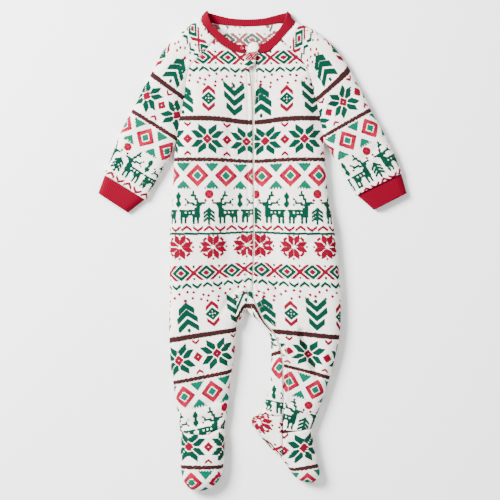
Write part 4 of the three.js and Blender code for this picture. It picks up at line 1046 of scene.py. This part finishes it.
clothPiece("sole_cloth_left", [inset(soleLeft, ["first"], 0.7)], "sole_left",
           flip=True, height=bottomHeight)
heelEdge = resample(heelSeam, np.linspace(0, 1, 6 * footEach + 1))
heelFold = resample(span(footL, ankleInnerLeft, heelTip), np.linspace(0, 1, 6 * footEach + 1))
upper = rowsOf((span(inseamL, heelTop, ankleInnerLeft), besideZip(-1, 21, 22), 3 * footEach))
heel = planGrid((np.concatenate([upper[0][:-1], heelFold]), np.concatenate([upper[1][:-1], heelEdge])),
                24, foldEnd=False, foldColumns=8, rowsEach=footEach)
clothPiece("heel_cloth_left", [inset(heel, ["end", "first", "last"], 1)], "heel_left")
print("feet made")


def lengthsAlong(grid, axis):
    # How far each point of a grid lies from its row's or column's first one, along the cloth.
    steps = np.linalg.norm(np.diff(grid, axis=axis), axis=2)
    return np.concatenate([0 * steps.take([0], axis), np.cumsum(steps, axis)], axis)


def ribPiece(name, node, grid, closed, flip):
    # A rib band with its own UV: across the ribs along the rows, along them over the columns.
    ids = np.arange(grid.shape[0] * grid.shape[1]).reshape(grid.shape[:2])
    around = grid
    if closed:
        ids, around = joined(ids), joined(grid)
    alongRows, alongColumns = lengthsAlong(around, 0), lengthsAlong(around, 1)
    wales, courses = (alongColumns, alongRows) if closed else (alongRows, alongColumns)
    wales = np.broadcast_to(wales.mean(0 if closed else 1, keepdims=True), ids.shape)
    piece = meshFrom(name, grid, gridQuads(ids, flip), [ribKnit])
    corners = gridQuads(np.arange(ids.size).reshape(ids.shape), flip)
    uv = np.stack([wales, courses], -1).reshape(-1, 2)[corners] / 100
    piece.data.uv_layers.new(name="knit").data.foreach_set("uv", uv.reshape(-1).astype(np.float32))
    thicken(piece, ribWall, 0)
    attach(piece, "rib", node)
    layCloth(piece, node)


# Cuffs: flat rings of rib on the ends of the sleeves.
cuffTable = {
    "cuff_right": (((-162.6, 75.6), (-187.5, 56.1)), ((-222.4, 112.6), (-232.2, 85.5))),
    "cuff_left": (((158, 82.1), (182.7, 60)), ((223.8, 114.4), (232.2, 85.5))),
}
cuffHeights = (12.5, 11)
for node, (innerEdge, outerEdge) in cuffTable.items():
    starts, ends = rowsOf((np.array(innerEdge), np.array(outerEdge), 20))
    widths = np.linalg.norm(ends - starts, axis=1)
    shares = columnShares(widths, True, True, 8, 20)
    plan = starts[:, None] + (ends - starts)[:, None] * shares[..., None]
    height = np.interp(np.linspace(0, 1, 21), [0, 1], cuffHeights)[:, None]
    near = np.minimum(shares, 1 - shares) * widths[:, None]
    top = height * (sideSeamShare + (1 - sideSeamShare) * rollShare(near, topRollShare * height))
    under = height * sideSeamShare * (1 - rollShare(near, bottomRollShare * height))
    upperLoop = np.concatenate([plan, top[..., None]], -1)
    lowerLoop = np.concatenate([plan, under[..., None]], -1)[:, 1:-1][:, ::-1]
    ring = np.concatenate([upperLoop, lowerLoop], 1)
    ribPiece(node.replace("cuff", "cuff_rib"), node, ring, True, node == "cuff_right")

# Collar
collarEach = 12
collarRows = smoothLine(collarTable, collarEach)
collarPlace = np.arange(len(collarRows)) / collarEach
foldAt = [i for i, row in enumerate(collarTable) if row[4] == 0.5]
onBack = (collarPlace > foldAt[0]) & (collarPlace < foldAt[1])
bandLength = np.linalg.norm(collarRows[:, 2:4] - collarRows[:, :2], axis=1)[:, None]
bandShares = 1.2 / bandLength + (1 - 1.2 / bandLength) * np.linspace(0, 1, 10)[None]
bandPlan = collarRows[:, None, :2] + (collarRows[:, 2:4] - collarRows[:, :2])[:, None] * bandShares[..., None]
bandHeight = np.where(onBack[:, None], bottomHeight(bandPlan), topHeight(bandPlan, plain=True))
atFold = np.isin(collarPlace, foldAt)
bandHeight[atFold] = foldHeight(bandPlan[atFold])
ribPiece("collar_rib", "collar", np.concatenate([bandPlan, bandHeight[..., None]], -1), False, True)
print("rib bands made")


def tapeTop(points):
    # The tape lies under the fronts: a wall and a little more below their outer face.
    step = 0.5
    slopeX = topHeight(points + (step, 0), True) - topHeight(points - (step, 0), True)
    slopeY = topHeight(points + (0, step), True) - topHeight(points - (0, step), True)
    slope = np.minimum(np.hypot(slopeX, slopeY) / (2 * step), 1.2)
    return topHeight(points, True) - fleeceWall * np.hypot(1, slope) - 2 * seamGap


def tubeAlong(path, radius, sides):
    # A tube of round section along a path; the section's frame is turned by the path's own direction.
    ahead = np.gradient(path, axis=0)
    ahead /= np.maximum(np.linalg.norm(ahead, axis=1), 1e-9)[:, None]
    side = np.cross(ahead, np.array([0.03, 0.05, 1.0]))
    side /= np.maximum(np.linalg.norm(side, axis=1), 1e-9)[:, None]
    up = np.cross(side, ahead)
    turn = np.linspace(0, 2 * math.pi, sides, endpoint=False)
    ring = np.cos(turn)[None, :, None] * side[:, None] + np.sin(turn)[None, :, None] * up[:, None]
    points = path[:, None] + radius * ring
    ids = np.arange(len(path) * sides).reshape(len(path), sides)
    quads = gridQuads(joined(ids), True)
    caps = [list(ids[0]), list(ids[-1][::-1])]
    return points.reshape(-1, 3), quads.tolist() + caps


# Zip: two tapes, each with its half of the coil. A tape narrows where the leg's fold is near.
for side, label in ((-1, "right"), (1, "left")):
    fine = resample(zipMiddle, np.linspace(0, 1, zipLook["rows"]))
    out = side * leftOf(np.gradient(fine[:, :2], axis=0))
    room = nearestOn(fine[:, :2], foldLines)[0] - zipLook["foldRoom"]
    reach = np.clip(room, zipLook["leastReach"], zipLook["reach"])[:, None]
    start = np.where(fine[:, 1] > zipLook["guardFrom"], zipLook["guardStart"], zipLook["start"])[:, None]
    across = start + (reach - start) * np.linspace(0, 1, zipLook["columns"])[None]
    plan = fine[:, None, :2] + out[:, None] * across[..., None]
    level = tapeTop(plan) - np.where(reach < zipLook["narrow"], zipLook["lowered"], 0)
    ids = np.arange(level.size).reshape(level.shape)
    points = np.concatenate([plan, level[..., None]], -1)
    tape = meshFrom("tape_" + label, points, gridQuads(ids, side < 0), [tapeWeave])
    thicken(tape, zipLook["tapeWall"], 0)
    attach(tape, "zip_tape", "zip_tape_" + label)

    turns = int(lineLengths(zipMiddle)[-1] / zipLook["pitch"])
    angle = np.linspace(0, 2 * math.pi * turns, zipLook["turnSteps"] * turns)
    spine = resample(zipMiddle, np.linspace(zipLook["coilFrom"], 1, len(angle)))[:, :2]
    out = side * leftOf(np.gradient(spine, axis=0))
    centre = spine + out * (zipLook["coilAway"] + zipLook["coilWidth"] * np.cos(angle))[:, None]
    level = tapeTop(spine) - zipLook["coilSunk"] + zipLook["coilHeight"] * np.sin(angle)
    path = np.concatenate([centre, level[:, None]], 1)
    points, quads = tubeAlong(path, zipLook["wire"], zipLook["wireSides"])
    coil = meshFrom("zip_coil_" + label, points, quads, [coilPlastic])
    attach(coil, "zip_plastic")
    layCloth(tape, "zip_tape", with_pieces=[coil])
print("zip made")

# Guard: the cloth tab over the top of the zip. Rows from its top down: both edges and its under face.
guardTable = [
    (-5, 309.6, 6, 311.8, 13.6), (-6.6, 303.6, 8.4, 305.8, 15.6), (-8, 297.5, 7.8, 299.8, 17.8),
    (-9.6, 291.4, 5.8, 293.4, 19.2), (-11.6, 284.5, 4.9, 286, 19.6), (-13.3, 277.8, 4, 280, 19.4),
    (-13.3, 272.8, 1.6, 276.6, 18.6), (-11.6, 269.4, -3.2, 273.6, 18),
]
guardLook = {"steps": 8, "columns": 20, "crown": 2.6, "edgeDip": 1.2, "length": 42, "width": 15}
guardRows = smoothLine(guardTable, guardLook["steps"])
t = np.linspace(0, 1, guardLook["columns"])[None]
guardPlan = guardRows[:, None, :2] + (guardRows[:, 2:4] - guardRows[:, :2])[:, None] * t[..., None]
guardTop = guardRows[:, 4:] + guardLook["crown"] - guardLook["edgeDip"] * (2 * t - 1) ** 4
ids = np.arange(guardTop.size).reshape(guardTop.shape)
guardPoints = np.concatenate([guardPlan, guardTop[..., None]], -1)
guard = meshFrom("guard_cloth", guardPoints, gridQuads(ids, False), [fleeceFace])

# Its print, in millimetres: a red patch with slanted pale lines, a green diamond and a red end.
down = np.linspace(0, guardLook["length"], len(guardRows))[:, None] + 0 * t
across = (t - 0.5) * guardLook["width"] + 0 * down
guardRed = (np.abs(down - 19.5) < 6) & (np.abs(across) < 6.8) & ((across + down) % 4.6 > 0.7)
guardRed |= (down > 36) & (np.abs(across) > 1.2)
guardGreen = np.abs(across) / 6.2 + np.abs(down - 30) / 4.8 < 1.15
setInks(guard, np.stack([guardRed, guardGreen, 0 * guardRed, 0.25 * guardRed], -1).astype(float))
thicken(guard, fleeceWall, 0)
attach(guard, "fleece", "zip_guard")
layCloth(guard, "zip_guard")

for node, material in [("zip_slider", zipPlastic), ("zip_pull", zipPlastic)]:
    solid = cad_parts[node]
    solid.data.materials.clear()
    solid.data.materials.append(material)

# Snap: a round cap with a raised rim and a shallow dish, as a profile turned about its middle.
snap = {
    "middle": (-15.6, 302.6), "raised": 0.5, "sides": 36, "profile": np.array([
        (0, 0.75), (1.4, 0.8), (2, 0.95), (2.3, 1.12), (2.65, 1.1), (2.95, 0.75), (3, 0.2), (2.8, 0), (0, 0),
    ]),
}
base = float(topHeight(np.array([snap["middle"]]), True)[0]) + snap["raised"]
turn = np.linspace(0, 2 * math.pi, snap["sides"], endpoint=False)
far, high = snap["profile"][1:-1, :1], snap["profile"][1:-1, 1:]
ring = np.stack([snap["middle"][0] + far * np.cos(turn), snap["middle"][1] + far * np.sin(turn),
                 base + high + 0 * turn], -1)
poles = np.array([(*snap["middle"], base + snap["profile"][0, 1]), (*snap["middle"], base)])
ids = joined(2 + np.arange(ring.shape[0] * ring.shape[1]).reshape(ring.shape[:2]))
faces = gridQuads(ids, False).tolist()
faces += [[0, a, b] for a, b in zip(ids[0, :-1].tolist(), ids[0, 1:].tolist())]
faces += [[1, b, a] for a, b in zip(ids[-1, :-1].tolist(), ids[-1, 1:].tolist())]
cap = meshFrom("snap_cap", np.concatenate([poles, ring.reshape(-1, 3)]), faces, [snapEnamel])
attach(cap, "snap", "collar_snap")

stitchLook = {
    "length": 2.4, "gap": 0.8, "radius": 0.32, "sunk": 0.15, "above": 0.4, "sides": 6,
    "stations": (-1, -0.8, 0, 0.8, 1), "swell": np.array([0.25, 0.85, 1, 0.85, 0.25]),
}


def stitchRow(name, line):
    # A row of sewn stitches: short capsules end to end along a line, a little sunk in the cloth.
    total = lineLengths(line)[-1]
    count = int(total / (stitchLook["length"] + stitchLook["gap"]))
    mids = (np.arange(count) + 0.5) / count
    half = stitchLook["length"] / total / 2
    spots = np.stack([resample(line, np.clip(mids + half * s, 0, 1)) for s in stitchLook["stations"]], 1)
    side = leftOf(spots[:, -1] - spots[:, 0])
    turn = np.linspace(0, 2 * math.pi, stitchLook["sides"], endpoint=False)
    around = stitchLook["radius"] * stitchLook["swell"][:, None]
    plan = spots[:, :, None] + (around * np.cos(turn))[None, :, :, None] * side[:, None, None]
    level = topHeight(spots)[:, :, None] - stitchLook["sunk"] + stitchLook["radius"] * stitchLook["above"]
    points = np.concatenate([plan, (level + (around * np.sin(turn))[None])[..., None]], -1)
    one = np.arange(30).reshape(5, 6)
    ends = np.array([[0, 1, 2, 3], [0, 3, 4, 5], [24, 27, 26, 25], [24, 29, 28, 27]])
    single = np.concatenate([gridQuads(joined(one), False), ends])
    quads = (single[None] + one.size * np.arange(count)[:, None, None]).reshape(-1, 4)
    attach(meshFrom(name, points, quads, [creamThread]), "fleece")


for side, label in ((-1, "right"), (1, "left")):
    stitchRow("zip_stitches_" + label, besideZip(side, 1, 20, zipLook["stitchAt"]))
print("stitches made")

# Floor and light: soft light from the upper left, with a pale surface.
floorHalf, floorLevel = 3, -0.0004
floorMaterial, floorCoords = startMaterial("pale_floor")
surface(floorCoords, noise(floorCoords, 30), 0.02, 0.001, Base_Color=linear(252, 252, 252), Roughness=0.9)
corners = [(x * floorHalf, y * floorHalf, floorLevel) for x, y in ((-1, -1), (1, -1), (1, 1), (-1, 1))]
floorMesh = bpy.data.meshes.new("floor")
floorMesh.from_pydata(corners, [], [[0, 1, 2, 3]])
floorMesh.materials.append(floorMaterial)
floor = bpy.data.objects.new("floor", floorMesh)
bpy.context.scene.collection.objects.link(floor)

lamps = {
    "key": {"spot": (-1.7, 1.1, 1.7), "power": 330, "size": 1.1},
    "fill": {"spot": (1.6, -0.4, 2.4), "power": 24, "size": 2.6},
}
for name, lamp in lamps.items():
    data = bpy.data.lights.new(name, "AREA")
    data.energy, data.size = lamp["power"], lamp["size"]
    lampObject = bpy.data.objects.new(name, data)
    lampObject.location = lamp["spot"]
    x, y, z = lamp["spot"]
    lampObject.rotation_euler = (math.atan2(math.hypot(x, y), z), 0, math.atan2(y, x) + math.pi / 2)
    bpy.context.scene.collection.objects.link(lampObject)
world = bpy.data.worlds.new("studio")
world.use_nodes = True
background = world.node_tree.nodes["Background"].inputs
background["Color"].default_value = (1, 1, 1, 1)
background["Strength"].default_value = 0.8
bpy.context.scene.world = world
